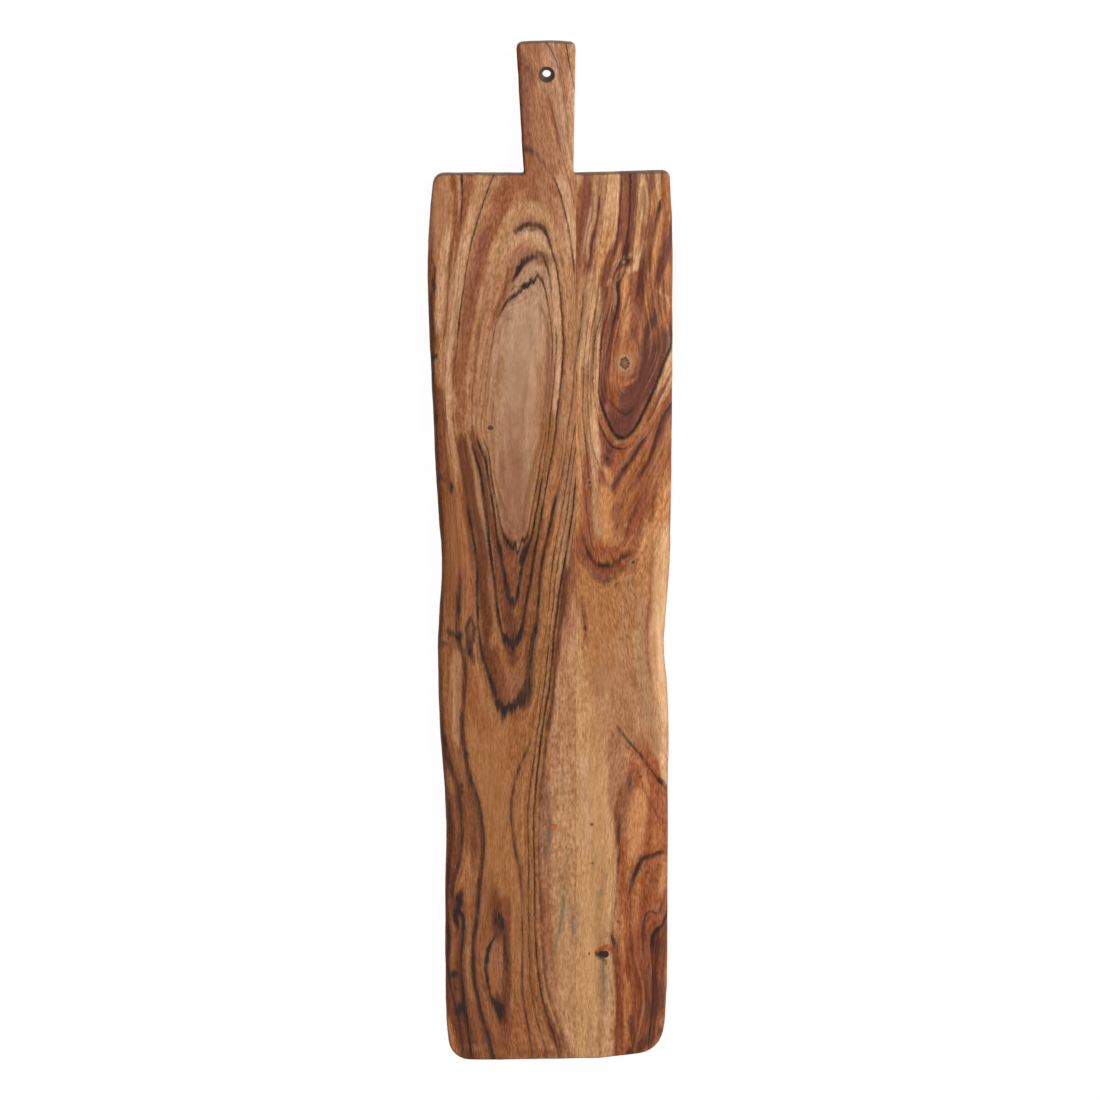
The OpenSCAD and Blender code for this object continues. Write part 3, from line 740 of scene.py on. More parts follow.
def ring_lines(tree, ring, pitch, darkness, patches):
    """The cover of the rings' dark late wood, crisp on its inner side, and of the brown halo around it."""
    widest_pitch, pitch_share, least_width = 0.008, 0.13, 0.0008
    inner_end, inner_full, outer_full = -0.5, -0.1, 0.25
    halo_inner, halo_outer = -1.5, 3.0
    breadth = stored(tree, "breadth")
    gap = times(tree, to_whole(tree, ring), pitch)
    near = maths(tree, "MINIMUM", pitch, widest_pitch)
    width = times(tree, breadth, maths(tree, "MULTIPLY_ADD", near, pitch_share, least_width))
    inside = fade(tree, gap, times(tree, width, inner_end), times(tree, width, inner_full))
    outside = fade(tree, gap, times(tree, width, outer_full), width, first=1.0, last=0.0)
    halo_inside = fade(tree, gap, times(tree, width, halo_inner), 0.0)
    halo_outside = fade(tree, gap, 0.0, times(tree, width, halo_outer), first=1.0, last=0.0)
    least_ink = fade(tree, darkness, start=0.6, end=0.95, first=0.2, last=0.7)
    ink = times(tree, darkness, fade(tree, patches, start=0.35, end=0.6, first=least_ink, last=1.0))
    halo_strength = fade(tree, breadth, start=0.7, end=1.3, first=0.15, last=0.5)
    return times(tree, inside, outside, ink), times(tree, halo_inside, halo_outside, ink, halo_strength)


def vein_lines(tree, ring, layers, pitch, stripy):
    """The cover of the pale veins, and of the dark veins and hair lines, in the stripy stretches."""
    hairs_per_ring, hair_wander = 2.0, 1.4
    veins = ring_noise(tree, layers, "veins")
    wander = times(tree, ring_noise(tree, layers, "wander"), hair_wander)
    hair = maths(tree, "MULTIPLY_ADD", ring, hairs_per_ring, wander)
    gap = times(tree, maths(tree, "ABSOLUTE", to_whole(tree, hair)), pitch, 1 / hairs_per_ring)
    hair_ink = fade(tree, ring_noise(tree, layers, "hair_ink"), start=0.4, end=0.58)
    hairs = times(tree, fade(tree, gap, start=0.0003, end=0.001, first=0.9, last=0.0), hair_ink)
    dark = maths(tree, "MAXIMUM", fade(tree, veins, start=0.56, end=0.63, last=0.6), hairs)
    pale = fade(tree, veins, start=0.45, end=0.38, last=0.35)
    return times(tree, pale, stripy), times(tree, dark, stripy)


def lightness(tree, grain, layers, pitch, streaks, speckle, even, rough, stripes):
    """How much lighter or darker than its tone the wood is, as a factor."""
    streak_share, layer_share, stripe_share, fleck_share, stipple_share = 0.6, 0.7, 0.8, 0.9, 0.26
    stripy = stored(tree, "stripy")
    # Layers between the rings fade out where the rings lie far apart
    far_apart = {"start": 0.015, "end": 0.04}
    pale_layer = fade(tree, pitch, **far_apart, first=1.12, last=0.99)
    dark_layer = fade(tree, pitch, **far_apart, first=0.86, last=0.99)
    close = times(tree, even, fade(tree, pitch, **far_apart, first=1.0, last=0.0))
    stipple = fade(tree, fibre_noise(tree, grain, "stipple"), start=0.35, end=0.65)
    unstriped = fade(tree, stripy, start=0.0, end=0.6, first=stipple_share, last=0.0)
    thick = ring_noise(tree, layers, "thick")
    return times(
        tree,
        swing(tree, streaks, times(tree, even, streak_share)),
        fade(tree, thick, start=0.25, end=0.75, first=dark_layer, last=pale_layer),
        swing(tree, ring_noise(tree, layers, "thin"), times(tree, close, layer_share)),
        swing(tree, fibre_noise(tree, grain, "stripes"), times(tree, stripes, stripe_share)),
        fade(tree, fibre_noise(tree, grain, "mottle"), start=0.3, end=0.7, first=0.92, last=1.08),
        swing(tree, speckle, times(tree, rough, fleck_share)),
        swing(tree, stipple, times(tree, rough, unstriped)),
    )


def knot_on(tree, place, colour, x, y, across, along, ragged, stops):
    """Lays one knot, or the painted shade in the hanging hole, over a wood's colour: rings of colour from its
    middle outwards, each with its cover.
    """
    wander_sizes, wander_detail = (0.0025, 0.0025, 0.01), 2
    away = vector_maths(tree, "SUBTRACT", place, (*on_board((x, y))[0], 0))
    sizes = (1 / (across * PIXEL), 1 / (along * PIXEL), 0)
    shares = vector_maths(tree, "MULTIPLY", away.outputs[0], sizes)
    length = vector_maths(tree, "LENGTH", shares.outputs[0])
    wander = both_ways(tree, grain_noise(tree, place, wander_sizes, wander_detail))
    ramp = tree.nodes.new("ShaderNodeValToRGB")
    for k, (share, shade, strength) in enumerate(stops):
        stop = ramp.color_ramp.elements[k] if k < 2 else ramp.color_ramp.elements.new(share)
        stop.position = share
        stop.color = (*linear(shade), strength)
    feed(tree, ramp.inputs[0], maths(tree, "MULTIPLY_ADD", wander, ragged, length.outputs["Value"]))
    return cover(tree, ramp.outputs["Alpha"], colour, ramp.outputs["Color"])


def figured_wood(name, knots):
    """Oiled wood drawn from the figure stored on its mesh, with its knots and any painted shade listed among
    them.
    """
    calm_evens, calm_smooths, calm_stripes = 0.6, 0.85, 0.3
    tone_hue, blot_reach, pore_strength = 0.4965, 0.9, 0.15
    relief, relief_strength, gloss = 0.0002, 0.25, 0.18
    material = bpy.data.materials.new(name)
    material.use_nodes = True
    tree = material.node_tree
    tree.nodes.clear()
    place = tree.nodes.new("ShaderNodeTexCoord").outputs["Object"]
    split = tree.nodes.new("ShaderNodeSeparateXYZ")
    tree.links.new(place, split.inputs[0])
    along, depth = split.outputs[1:]
    grain = joined(tree, stored(tree, "fibre"), along, depth)
    pitch = stored(tree, "pitch")
    darkness = stored(tree, "darkness")
    calm = stored(tree, "calm")
    stripy = stored(tree, "stripy")
    ring = ring_place(tree, place, grain, pitch)
    layers = joined(tree, ring, along)
    patches = fibre_noise(tree, grain, "patches")
    streaks = fibre_noise(tree, grain, "streaks")
    speckle = fibre_noise(tree, grain, "speckle")

    # Calm stretches are even and smooth
    even = maths(tree, "MULTIPLY_ADD", calm, -calm_evens, 1.0)
    rough = maths(tree, "MULTIPLY_ADD", calm, -calm_smooths, 1.0)
    stripes = maths(tree, "MULTIPLY_ADD", calm, calm_stripes, stripy)
    light = lightness(tree, grain, layers, pitch, streaks, speckle, even, rough, stripes)
    shaded = tree.nodes.new("ShaderNodeHueSaturation")
    feed(tree, shaded.inputs["Color"], stored(tree, "tone", "Color"))
    feed(tree, shaded.inputs["Value"], light)
    feed(tree, shaded.inputs["Hue"], tone_hue)
    feed(tree, shaded.inputs["Saturation"], fade(tree, light, start=0.7, end=1.2, first=1.13, last=1.0))

    # Veins, ring lines, smudges, stains, open pores, knots with the painted shade in the hanging hole, and
    # end grain are laid over the tones in turn
    marks = {mark: opaque(shade) for mark, shade in MARKS.items()}
    late_wood, halo = ring_lines(tree, ring, pitch, darkness, patches)
    pale_veins, dark_veins = vein_lines(tree, ring, layers, pitch, stripy)
    firm = fade(tree, darkness, start=0.6, end=0.95)
    line_colour = cover(tree, firm, marks["soft_line"], marks["late_wood"])
    blots = both_ways(tree, fibre_noise(tree, grain, "blots"))
    smoky = maths(tree, "MULTIPLY_ADD", blots, blot_reach, stored(tree, "smudge"))
    smudges = fade(tree, smoky, start=0.25, end=0.9, last=0.95)
    stains = times(tree, stored(tree, "grey"), fade(tree, streaks, start=0.35, end=0.6, first=0.2))
    pores = times(tree, fade(tree, speckle, start=0.42, end=0.3), rough)
    colour = shaded.outputs[0]
    colour = cover(tree, pale_veins, colour, marks["pale_vein"])
    colour = cover(tree, dark_veins, colour, marks["dark_vein"])
    colour = cover(tree, halo, colour, marks["halo"])
    colour = cover(tree, late_wood, colour, line_colour)
    colour = cover(tree, smudges, colour, marks["smudge"])
    colour = cover(tree, stains, colour, marks["stain"])
    colour = cover(tree, times(tree, pores, pore_strength), colour, marks["pore"])
    for knot in knots:
        colour = knot_on(tree, place, colour, *knot)
    end_grain = fade(tree, stored(tree, "end_grain"), start=0.5, end=0.95, last=0.45)
    colour = cover(tree, end_grain, colour, marks["end_grain"])

    bump = tree.nodes.new("ShaderNodeBump")
    bump.inputs["Strength"].default_value = relief_strength
    bump.inputs["Distance"].default_value = relief
    feed(tree, bump.inputs["Height"], maths(tree, "SUBTRACT", streaks, pores))
    shader = tree.nodes.new("ShaderNodeBsdfPrincipled")
    feed(tree, shader.inputs["Base Color"], colour)
    feed(tree, shader.inputs["Roughness"], fade(tree, patches, start=0.2, end=0.8, first=0.5, last=0.64))
    feed(tree, shader.inputs["Normal"], bump.outputs[0])
    shader.inputs["Specular IOR Level"].default_value = gloss
    output = tree.nodes.new("ShaderNodeOutputMaterial")
    tree.links.new(shader.outputs[0], output.inputs[0])
    return material


# A knot's rings of colour: how far out from the middle, the colour, and how much it covers
PIN_KNOT = [
    (0.0, (88, 54, 42), 0.95), (0.32, (94, 57, 43), 0.9), (0.5, (178, 138, 102), 0.7),
    (0.72, (148, 96, 64), 0.5), (1.0, (168, 116, 80), 0.0),
]
EMBER_SPOT = [
    (0.0, (200, 104, 58), 1.0), (0.65, (190, 98, 54), 0.9), (0.8, (120, 78, 56), 0.6),
    (1.0, (150, 110, 80), 0.0),
]
# Painted shade in the hanging hole: dull dark colour over its mouth and wall, where little light gets in
HOLE_PAINTED_SHADE = [(0.0, (104, 82, 70), 1.0), (0.9, (92, 70, 58), 1.0), (1.0, (90, 58, 42), 0.0)]
# Knots, and the painted shade in the hanging hole: place, half width, half height, raggedness, and rings of
# colour
HANDLE_KNOTS = [
    (490.5, 427.5, 8, 6.5, 0.5, PIN_KNOT),
    (553, 828.5, 3.8, 3.8, 0.3, EMBER_SPOT),
    (546.2, 76.3, 8.4, 8.4, 0.0, HOLE_PAINTED_SHADE),
]
handle_stave = fine_plank("handle_stave", "handle_stave_wood", seam_side=1)
handle_spots = {
    "smudge": HANDLE_SMUDGES, "toothed": HANDLE_FLAMES, "calm": HANDLE_CALM, "stripy": HANDLE_STRIPES,
    "grey": HANDLE_GREYS,
}
draw_figure(handle_stave, HANDLE_RINGS, "buff", HANDLE_STROKES, handle_spots, HANDLE_FIBRES)
handle_stave.data.materials.append(figured_wood("handle_stave_figure", HANDLE_KNOTS))
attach(handle_stave, "root")
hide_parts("handle_stave")

# Side stave
# The narrower, redder plank, glued along its straight edge, with a branch knot near the shoulders.
# Below the knot's dark heartwood a band of pale sapwood runs down beside the seam.

# Its figure, in lists like those of the handle stave
SIDE_RINGS = [
    (0, 0.0, 1.0, [625, 330, 624, 363, 624, 388]),
    (1, 0.4, 1.0, [638, 176, 635, 215, 632, 245, 629, 290, 622, 315, 617, 335, 613, 358, 613, 380]),
    (1, 0.35, 1.0, [617, 396, 624, 400, 631, 396, 637, 384, 642, 365]),
    (2, 0.7, 1.2, [634, 180, 632, 210, 630, 235, 626, 252]),
    (2, 0.95, 1.2, [616, 281, 618, 291, 617, 302, 614, 318]),
    (2, 0.7, 1.2, [611, 333, 608, 348, 605, 365, 604, 382, 608, 398]),
    (2, 0.85, 1.2, [614, 405, 620, 411, 625, 412, 630, 408]),
    (2, 0.6, 1.0, [636, 399, 642, 387, 647, 376, 651, 366, 655, 355]),
    (2, 0.5, 1.0, [651, 176, 653, 195, 656, 207, 653, 222, 648, 242, 648, 275, 650, 300]),
    (3, 0.9, 1.3, [629, 178, 629, 200, 628, 222, 626, 242, 622, 258, 617, 270]),
    (3, 0.7, 0.9, [612, 286, 609, 305, 605, 320, 602, 335]),
    (3, 0.9, 0.9, [600, 350, 599, 368, 598, 388, 599, 402]),
    (3, 1.0, 1.6, [602, 409, 607, 420, 611, 430, 616, 436, 622, 439, 628, 435, 634, 427, 640, 415]),
    (3, 1.0, 1.3, [646, 402, 652, 389, 657, 376, 661, 364, 666, 353, 670, 346]),
    (3, 0.3, 1.0, [660, 178, 661, 202, 664, 222, 662, 240, 659, 262, 660, 290, 664, 320]),
    (4, 0.7, 1.0, [620, 172, 620, 188]),
    (4, 0.5, 0.8, [619, 205, 617, 230, 614, 248, 609, 264, 606, 282, 603, 300]),
    (4, 0.9, 0.8, [599, 320, 595, 335, 593, 347, 593, 358]),
    (4, 0.7, 0.8, [592, 375, 593, 395, 597, 414]),
    (4, 0.9, 0.9, [600, 427, 604, 436, 609, 444, 615, 447, 621, 446]),
    (4, 0.6, 0.9, [628, 443, 637, 435, 645, 424, 652, 411, 658, 397, 664, 383, 670, 371]),
    (5, 0.0, 1.0, [612, 180, 611, 215, 607, 240, 603, 262, 599, 285]),
    (5, 0.7, 0.7, [596, 305, 592, 325, 589, 345, 588, 365, 587, 390, 588, 420, 591, 445, 597, 461]),
    (5, 0.5, 1.2, [606, 480, 612, 488, 616, 479, 622, 470]),
    (5, 0.8, 1.3, [625, 466, 629, 460, 634, 451, 638, 442]),
    (5, 0.4, 1.0, [646, 432, 653, 421, 659, 409, 664, 399, 670, 388]),
    (6, 0.6, 0.7, [606, 180, 603, 210, 600, 240, 597, 262, 593, 285, 590, 305, 587, 325, 585, 350]),
    (6, 0.8, 0.7, [583, 380, 582, 400, 583, 420, 585, 442, 587, 462, 588, 480]),
    (6, 0.0, 0.8, [592, 505, 600, 532, 610, 533]),
    (6, 0.6, 0.8, [618, 522, 619, 511, 622, 499, 626, 490, 632, 482]),
    (6, 0.8, 1.1, [640, 472, 649, 456, 653, 445, 655, 432, 659, 419, 664, 410, 669, 403]),
    (7, 0.7, 0.9, [598, 200, 596, 220, 592, 240, 588, 262, 585, 283]),
    (7, 0.8, 0.9, [582, 305, 580, 325, 577, 348, 575, 365]),
    (7, 0.7, 0.8, [580, 450, 582, 470, 585, 492]),
    (7, 0.75, 1.0, [586, 510, 588, 522, 590, 540, 591, 548]),
    (7, 0.35, 1.2, [598, 552, 607, 552, 616, 548, 622, 540]),
    (7, 0.5, 1.4, [626, 527, 631, 515, 636, 504, 641, 493, 645, 482, 650, 471, 656, 459, 663, 446]),
    (8, 0.85, 2.6, [586, 549, 589, 556, 595, 562, 601, 565, 607, 565, 614, 562, 621, 558, 627, 554]),
    (8, 0.2, 1.2, [636, 535, 645, 512, 654, 488, 665, 460]),
    (8, 0.0, 1.0, [587, 178, 586, 200, 582, 225, 578, 250, 575, 275]),
    (9, 0.5, 2.2, [583, 560, 588, 567, 594, 575, 600, 582, 606, 580, 613, 574, 622, 567]),
    (9, 0.0, 1.0, [634, 560, 645, 535, 657, 508, 669, 480]),
    (10, 0.0, 1.0, [576, 600, 590, 610, 605, 615, 625, 605, 640, 585, 655, 560, 668, 530]),
    (11, 0.0, 1.0, [576, 700, 590, 690, 610, 690, 632, 680, 650, 690, 660, 720, 668, 750]),
    (12, 0.8, 1.1, [622, 733, 626, 739, 631, 746, 636, 752, 641, 758, 646, 765, 651, 771, 657, 780]),
    (12, 0.0, 1.0, [610, 722, 598, 735, 590, 790, 588, 850, 588, 930, 588, 1055]),
    (13, 0.3, 1.2, [636, 768, 628, 775, 622, 790, 621, 805]),
    (13, 0.75, 1.1, [619, 820, 617, 834, 617, 847, 618, 860]),
    (13, 0.5, 1.0, [616, 874, 616, 888, 615, 905, 613, 922, 611, 938]),
    (13, 0.4, 1.4, [614, 955, 617, 975, 617, 1005, 616, 1050]),
    (13, 0.4, 1.0, [646, 798, 652, 808, 657, 816, 662, 822]),
    (14, 0.9, 2.0, [658, 853, 653, 856, 648, 857, 643, 858, 639, 863, 636, 870, 632, 879, 629, 889]),
    (14, 0.55, 0.9, [629, 902, 629, 918, 629, 935, 630, 952]),
    (14, 0.6, 0.9, [633, 972, 637, 988, 639, 1005, 638, 1018, 635, 1035]),
    (15, 0.8, 1.1, [657, 918, 654, 914, 650, 911, 646, 915, 643, 921, 641, 935, 641, 947]),
    (15, 0.6, 0.8, [644, 965, 646, 976, 648, 995, 648, 1012, 644, 1030]),
    (16, 1.0, 1.6, [665, 917, 663, 923, 659, 928, 654, 931, 651, 938, 650, 948]),
    (16, 0.9, 1.0, [651, 965, 652, 985, 651, 1010, 649, 1030]),
    (17, 0.3, 1.0, [666, 935, 661, 955, 658, 985, 658, 1015, 655, 1035]),
]
SIDE_STROKES = [
    ("sapwood", 24, [590, 660, 592, 720, 594, 800, 594, 900, 592, 1050]),
    ("fawn", 24, [612, 590, 612, 650]),
    ("buff", 24, [614, 690, 620, 720]),
    ("rust", 18, [645, 800, 648, 850, 642, 900, 635, 960, 632, 1045]),
    ("sap", 4, [577, 174, 576, 192]),
    ("clay", 4, [580, 206, 579, 230, 577, 256]),
    ("wine", 5, [587, 174, 586, 208]),
    ("wine", 4, [584, 214, 581, 246, 580, 268]),
    ("pale", 4, [595, 175, 594, 198, 591, 222, 588, 244]),
    ("tan", 4, [602, 176, 601, 205]),
    ("cream", 8, [612, 176, 611, 205, 608, 232]),
    ("cream", 4, [603, 232, 598, 256, 596, 282, 597, 305]),
    ("dark_wine", 1.5, [599, 203, 595, 224, 591, 244, 589, 262, 586, 276]),
    ("heart", 3, [606, 236, 603, 250, 601, 262]),
    ("umber", 5, [611, 254, 607, 266, 604, 276]),
    ("tan", 2.5, [620, 246, 616, 262, 612, 278]),
    ("wine", 4, [624, 174, 624, 205, 622, 235]),
    ("clay", 1.2, [626, 184, 625, 205, 624, 232]),
    ("mahogany", 1.5, [619, 172, 620, 186, 619, 206, 617, 232, 614, 250]),
    ("plum", 5, [634, 174, 633, 195]),
    ("mahogany", 1.5, [629, 205, 628, 225, 626, 246, 625, 256]),
    ("tan", 2, [632, 205, 631, 230]),
    ("sap", 3, [644, 178, 645, 202, 643, 222]),
    ("cream", 3.5, [640, 186, 640, 205, 637, 224, 635, 246]),
    ("plum", 2, [650, 176, 650, 196]),
    ("cream", 3, [656, 176, 657, 197]),
    ("heart", 3, [652, 200, 650, 216]),
    ("smoke", 1.5, [657, 204, 655, 216, 652, 226, 650, 245]),
    ("orange", 4, [664, 176, 665, 205, 668, 235]),
    ("heart", 3, [661, 214, 657, 234, 652, 256, 649, 278]),
    ("russet", 4, [648, 225, 646, 248, 645, 268]),
    ("dark_wine", 4.5, [666, 242, 661, 264, 656, 285]),
    ("orange", 2, [666, 270, 661, 290, 657, 310]),
    ("sap", 3, [636, 250, 630, 256, 622, 260]),
    ("cream", 3.5, [638, 258, 637, 266, 628, 270, 618, 277]),
    ("ink", 2, [626, 262, 621, 268, 618, 274]),
    ("ink", 2, [626, 248, 624, 257]),
    ("tan", 3, [614, 282, 613, 300, 611, 318]),
    ("ink", 1.5, [617, 284, 618, 300, 616, 318]),
    ("heart", 5, [624, 284, 624, 310, 621, 335]),
    ("russet", 2, [631, 282, 630, 310]),
    ("mahogany", 5, [641, 274, 639, 298]),
    ("wine", 5, [638, 306, 633, 335, 631, 350]),
    ("orange", 4, [649, 284, 646, 305, 643, 325]),
    ("russet", 3, [655, 290, 654, 315]),
    ("tan", 3, [661, 288, 662, 314]),
    ("rust", 3, [667, 285, 667, 312]),
    ("pale", 2, [662, 296, 666, 303]),
    ("orange", 3, [664, 306, 664, 330]),
    ("dusk", 5, [651, 322, 645, 342, 640, 356]),
    ("rust", 2, [653, 330, 645, 350]),
    ("dusk", 7, [664, 342, 657, 357, 650, 373]),
    ("sap", 2, [666, 332, 668, 338]),
    ("dark_wine", 2, [606, 290, 603, 315, 600, 340]),
    ("mahogany", 4, [613, 318, 609, 342, 604, 368, 603, 392]),
    ("rust", 2, [616, 325, 611, 350, 608, 380]),
    ("orange", 5, [622, 340, 616, 362, 614, 382]),
    ("orange", 4, [632, 352, 634, 372]),
    ("sap", 9, [586, 295, 584, 330, 583, 365]),
    ("cream", 3, [590, 300, 588, 330, 587, 355]),
    ("cream", 4, [583, 340, 581, 365, 579, 395]),
    ("cream", 3, [598, 318, 597, 345, 596, 372]),
    ("heart", 5, [577, 380, 577, 400, 578, 420, 577, 452]),
    ("sap", 3, [587, 372, 588, 400, 590, 430]),
    ("cream", 3, [595, 375, 595, 400, 594, 430, 596, 452]),
    ("pale", 5, [593, 442, 595, 465]),
    ("sap", 3, [583, 385, 584, 415, 583, 450]),
    ("dark_wine", 13, [648, 367, 638, 390, 626, 405, 622, 416]),
    ("dark_wine", 10, [626, 408, 621, 424]),
    ("rust", 4, [609, 386, 614, 402]),
    ("orange", 2, [612, 370, 616, 381, 624, 385, 632, 380]),
    ("orange", 3, [603, 417, 608, 432, 616, 442, 626, 440]),
    ("cream", 7, [670, 362, 664, 382, 657, 398]),
    ("orange", 5, [650, 408, 645, 418, 636, 436]),
    ("wine", 2, [663, 385, 656, 400, 648, 418]),
    ("orange", 2, [668, 392, 660, 405, 654, 420]),
    ("dark_wine", 4, [668, 407, 662, 418, 655, 438]),
    ("ember", 4, [652, 452, 646, 468, 640, 488]),
    ("dark_wine", 6, [608, 453, 607, 464]),
    ("dark_wine", 3, [638, 443, 629, 458, 620, 472, 613, 486]),
    ("rust", 4, [620, 453, 613, 468]),
    ("orange", 5, [640, 457, 628, 475, 618, 495]),
    ("orange", 4, [630, 492, 624, 510]),
    ("orange", 6, [663, 442, 657, 462, 649, 485]),
    ("ember", 5, [645, 492, 637, 512, 630, 528]),
    ("heart", 6, [605, 492, 604, 515, 605, 530]),
    ("sap", 4, [594, 487, 595, 510, 598, 528]),
    ("rust", 3, [583, 497, 585, 530]),
    ("heart", 4, [578, 470, 577, 500, 577, 525]),
    ("rust", 5, [578, 542, 580, 575]),
    ("heart", 7, [664, 492, 660, 520, 659, 550]),
    ("apricot", 7, [647, 532, 643, 560, 642, 590]),
    ("rust", 8, [599, 552, 609, 553]),
    ("ember", 6, [592, 563, 602, 572, 616, 567]),
    ("wine", 4, [597, 575, 606, 580]),
    ("fawn", 10, [584, 590, 590, 645]),
    ("russet", 2, [581, 600, 586, 640]),
    ("fawn", 5, [609, 622, 610, 660]),
    ("buff", 5, [628, 580, 626, 610, 622, 640]),
    ("straw", 5, [640, 612, 640, 645]),
    ("sap", 7, [638, 650, 644, 695, 650, 730]),
    # Pale sapwood along the right edge, with a painted highlight where the edge rolls towards the lamp; the
    # next, lighter stroke is painted highlight only
    ("cream", 9, [662, 545, 659, 590, 657, 635, 659, 680, 662, 712, 665, 745]),
    ("highlit_cream", 5, [661, 595, 658, 635, 661, 685, 664, 715]),
    ("straw", 5, [652, 740, 657, 755]),
    ("cream", 4, [662, 755, 663, 766]),
    ("sap", 4, [605, 695, 604, 735, 602, 760]),
    ("straw", 6, [632, 702, 635, 730]),
    ("tan", 8, [614, 760, 615, 795]),
    ("russet", 5, [632, 767, 630, 785, 628, 800]),
    ("brown", 3, [618, 796, 616, 816]),
    ("umber", 3, [617, 820, 617, 846]),
    ("orange", 5, [638, 770, 643, 784]),
    ("rust", 7, [642, 785, 650, 800]),
    ("orange", 8, [631, 832, 625, 872]),
    ("heart", 9, [638, 812, 635, 838]),
    ("orange", 5, [655, 837, 655, 850]),
    ("rust", 4, [622, 852, 622, 880, 621, 910]),
    ("clay", 5, [654, 872, 647, 892]),
    ("orange", 4, [663, 862, 661, 886]),
    ("orange", 3, [640, 868, 635, 888, 634, 920]),
    ("ember", 5, [644, 912, 641, 945]),
    ("rose_pale", 2, [602, 962, 604, 1006]),
    ("sap", 9, [604, 940, 606, 1000, 603, 1050]),
    ("orange", 5, [621, 927, 622, 945]),
    ("ember", 6, [636, 962, 637, 1010]),
    ("ember", 4, [617, 962, 619, 1000, 618, 1040]),
    ("orange", 3, [627, 978, 628, 1000, 626, 1035]),
    ("ember", 4, [628, 950, 628, 968]),
    ("ember", 5, [641, 967, 643, 1000, 640, 1035]),
    ("mahogany", 4.5, [656, 940, 656, 970, 655, 1005, 650, 1035]),
    ("ember", 2, [659, 962, 657, 985]),
    ("chestnut", 3, [664, 928, 662, 965, 661, 1010]),
    ("chestnut", 3, [647, 975, 647, 1020]),
    ("mahogany", 5, [648, 1042, 637, 1051]),
    ("chestnut", 3, [631, 1030, 634, 1048]),
    ("pale", 6, [583, 772, 584, 800, 586, 835]),
    ("rust", 3, [598, 953, 606, 949, 613, 953]),
    ("wine", 3, [612, 942, 615, 952, 614, 962]),
    ("smoke", 2, [599, 959, 605, 964]),
    ("sap", 5, [590, 1035, 590, 1050]),
]
SIDE_SMUDGES = [
    (619, 438, 6, 3, 0, 0.8), (622, 411, 7, 3, 0, 0.6), (623, 468, 3, 8, -35, 0.7),
    (606, 459, 5, 9, 0, 0.55), (603, 565, 10, 3, 0, 0.75), (590, 556, 4, 5, 0, 0.65),
    (604, 578, 7, 5, 0, 0.35), (588, 547, 3, 8, 0, 0.5), (628, 556, 6, 3, 0, 0.5),
    (633, 511, 3, 12, -25, 0.5), (584.5, 628, 1.6, 5, 5, 0.95), (582, 616, 1.5, 7, 10, 0.6),
    (586, 637, 1.5, 5, 10, 0.5), (626, 636, 2.5, 4, 0, 0.7), (660, 782, 4, 6, 45, 0.85),
    (629, 785, 3, 12, 0, 0.6), (657, 210, 2, 6, 0, 0.7), (620, 262, 2.5, 7, -30, 0.7),
    (643, 330, 3, 7, -20, 0.5), (667, 334, 2.5, 5, 0, 0.6), (656, 432, 2, 10, -20, 0.6),
    (668, 408, 3, 6, -30, 0.6), (618, 860, 2.5, 5, 0, 0.6), (646, 873, 2, 3, 0, 0.7),
    (613, 945, 4, 5, -30, 0.5), (611, 938, 1.5, 7, 20, 0.8), (652, 945, 3, 12, 0, 0.85),
    (655, 990, 4, 25, 0, 0.5), (648, 1045, 6, 6, -50, 0.5), (629, 940, 1.5, 5, 0, 0.7),
    (630, 952, 1.5, 5, 0, 0.7), (624, 1046, 3, 3, 0, 0.5), (658, 262, 3, 10, -25, 0.5),
    (587, 190, 3, 14, 0, 0.4), (640, 860, 4, 5, -40, 0.6), (634, 877, 2.5, 7, -25, 0.6),
]
SIDE_FLAMES = [
    (605, 560, 18, 14, 0, 0.8), (624, 250, 8, 14, 0, 0.3),
]
SIDE_CALM = [
    (659, 630, 10, 90, 0, 0.9), (630, 420, 14, 25, 0, 0.6), (602, 520, 10, 24, 0, 0.7),
    (640, 820, 12, 26, 0, 0.6), (594, 780, 13, 90, 0, 0.7), (594, 940, 14, 110, 0, 0.6),
    (606, 670, 16, 50, 15, 0.5),
]
SIDE_STRIPES = [
    (640, 210, 26, 60, 0, 0.75), (586, 210, 14, 50, 0, 0.6), (590, 320, 22, 70, 0, 0.4),
    (656, 290, 18, 70, -10, 0.8), (606, 350, 14, 60, 0, 0.8), (640, 380, 24, 40, -30, 0.7),
    (648, 450, 20, 60, -25, 0.7), (645, 990, 20, 60, 0, 0.7), (588, 430, 12, 60, 0, 0.3),
]
SIDE_GREYS = [
    (602, 975, 3, 16, 3, 0.9), (603, 1000, 2, 14, 3, 0.7), (600, 893, 3, 16, -20, 0.6),
    (594, 865, 2, 12, -10, 0.5), (641, 655, 5, 50, 0, 0.25), (649, 715, 5, 30, 20, 0.35),
    (576, 925, 3, 20, -5, 0.5), (611, 990, 2, 14, 0, 0.3),
]
SIDE_FIBRES = [
    [575, 45, 575, 1058],
    [612, 45, 612, 175, 604, 290, 592, 360, 588, 420, 590, 480, 588, 570, 604, 690, 598, 800, 590, 1058],
    [640, 45, 640, 175, 632, 290, 624, 363, 618, 500, 616, 580, 638, 710, 622, 850, 632, 1058],
    [669, 45, 669, 175, 671, 350, 665, 560, 663, 630, 667, 720, 667, 950, 650, 1050],
]
BRANCH_KNOT = [
    (0.0, (150, 108, 80), 0.8), (0.22, (124, 88, 66), 0.9), (0.3, (82, 56, 44), 1.0),
    (0.36, (176, 126, 92), 0.9), (0.48, (198, 148, 108), 0.8), (0.55, (146, 98, 72), 0.7),
    (0.62, (188, 134, 98), 0.6), (0.9, (170, 112, 80), 0.0),
]
TINY_KNOT = [(0.0, (118, 62, 42), 0.95), (0.5, (130, 72, 48), 0.85), (1.0, (168, 112, 76), 0.0)]
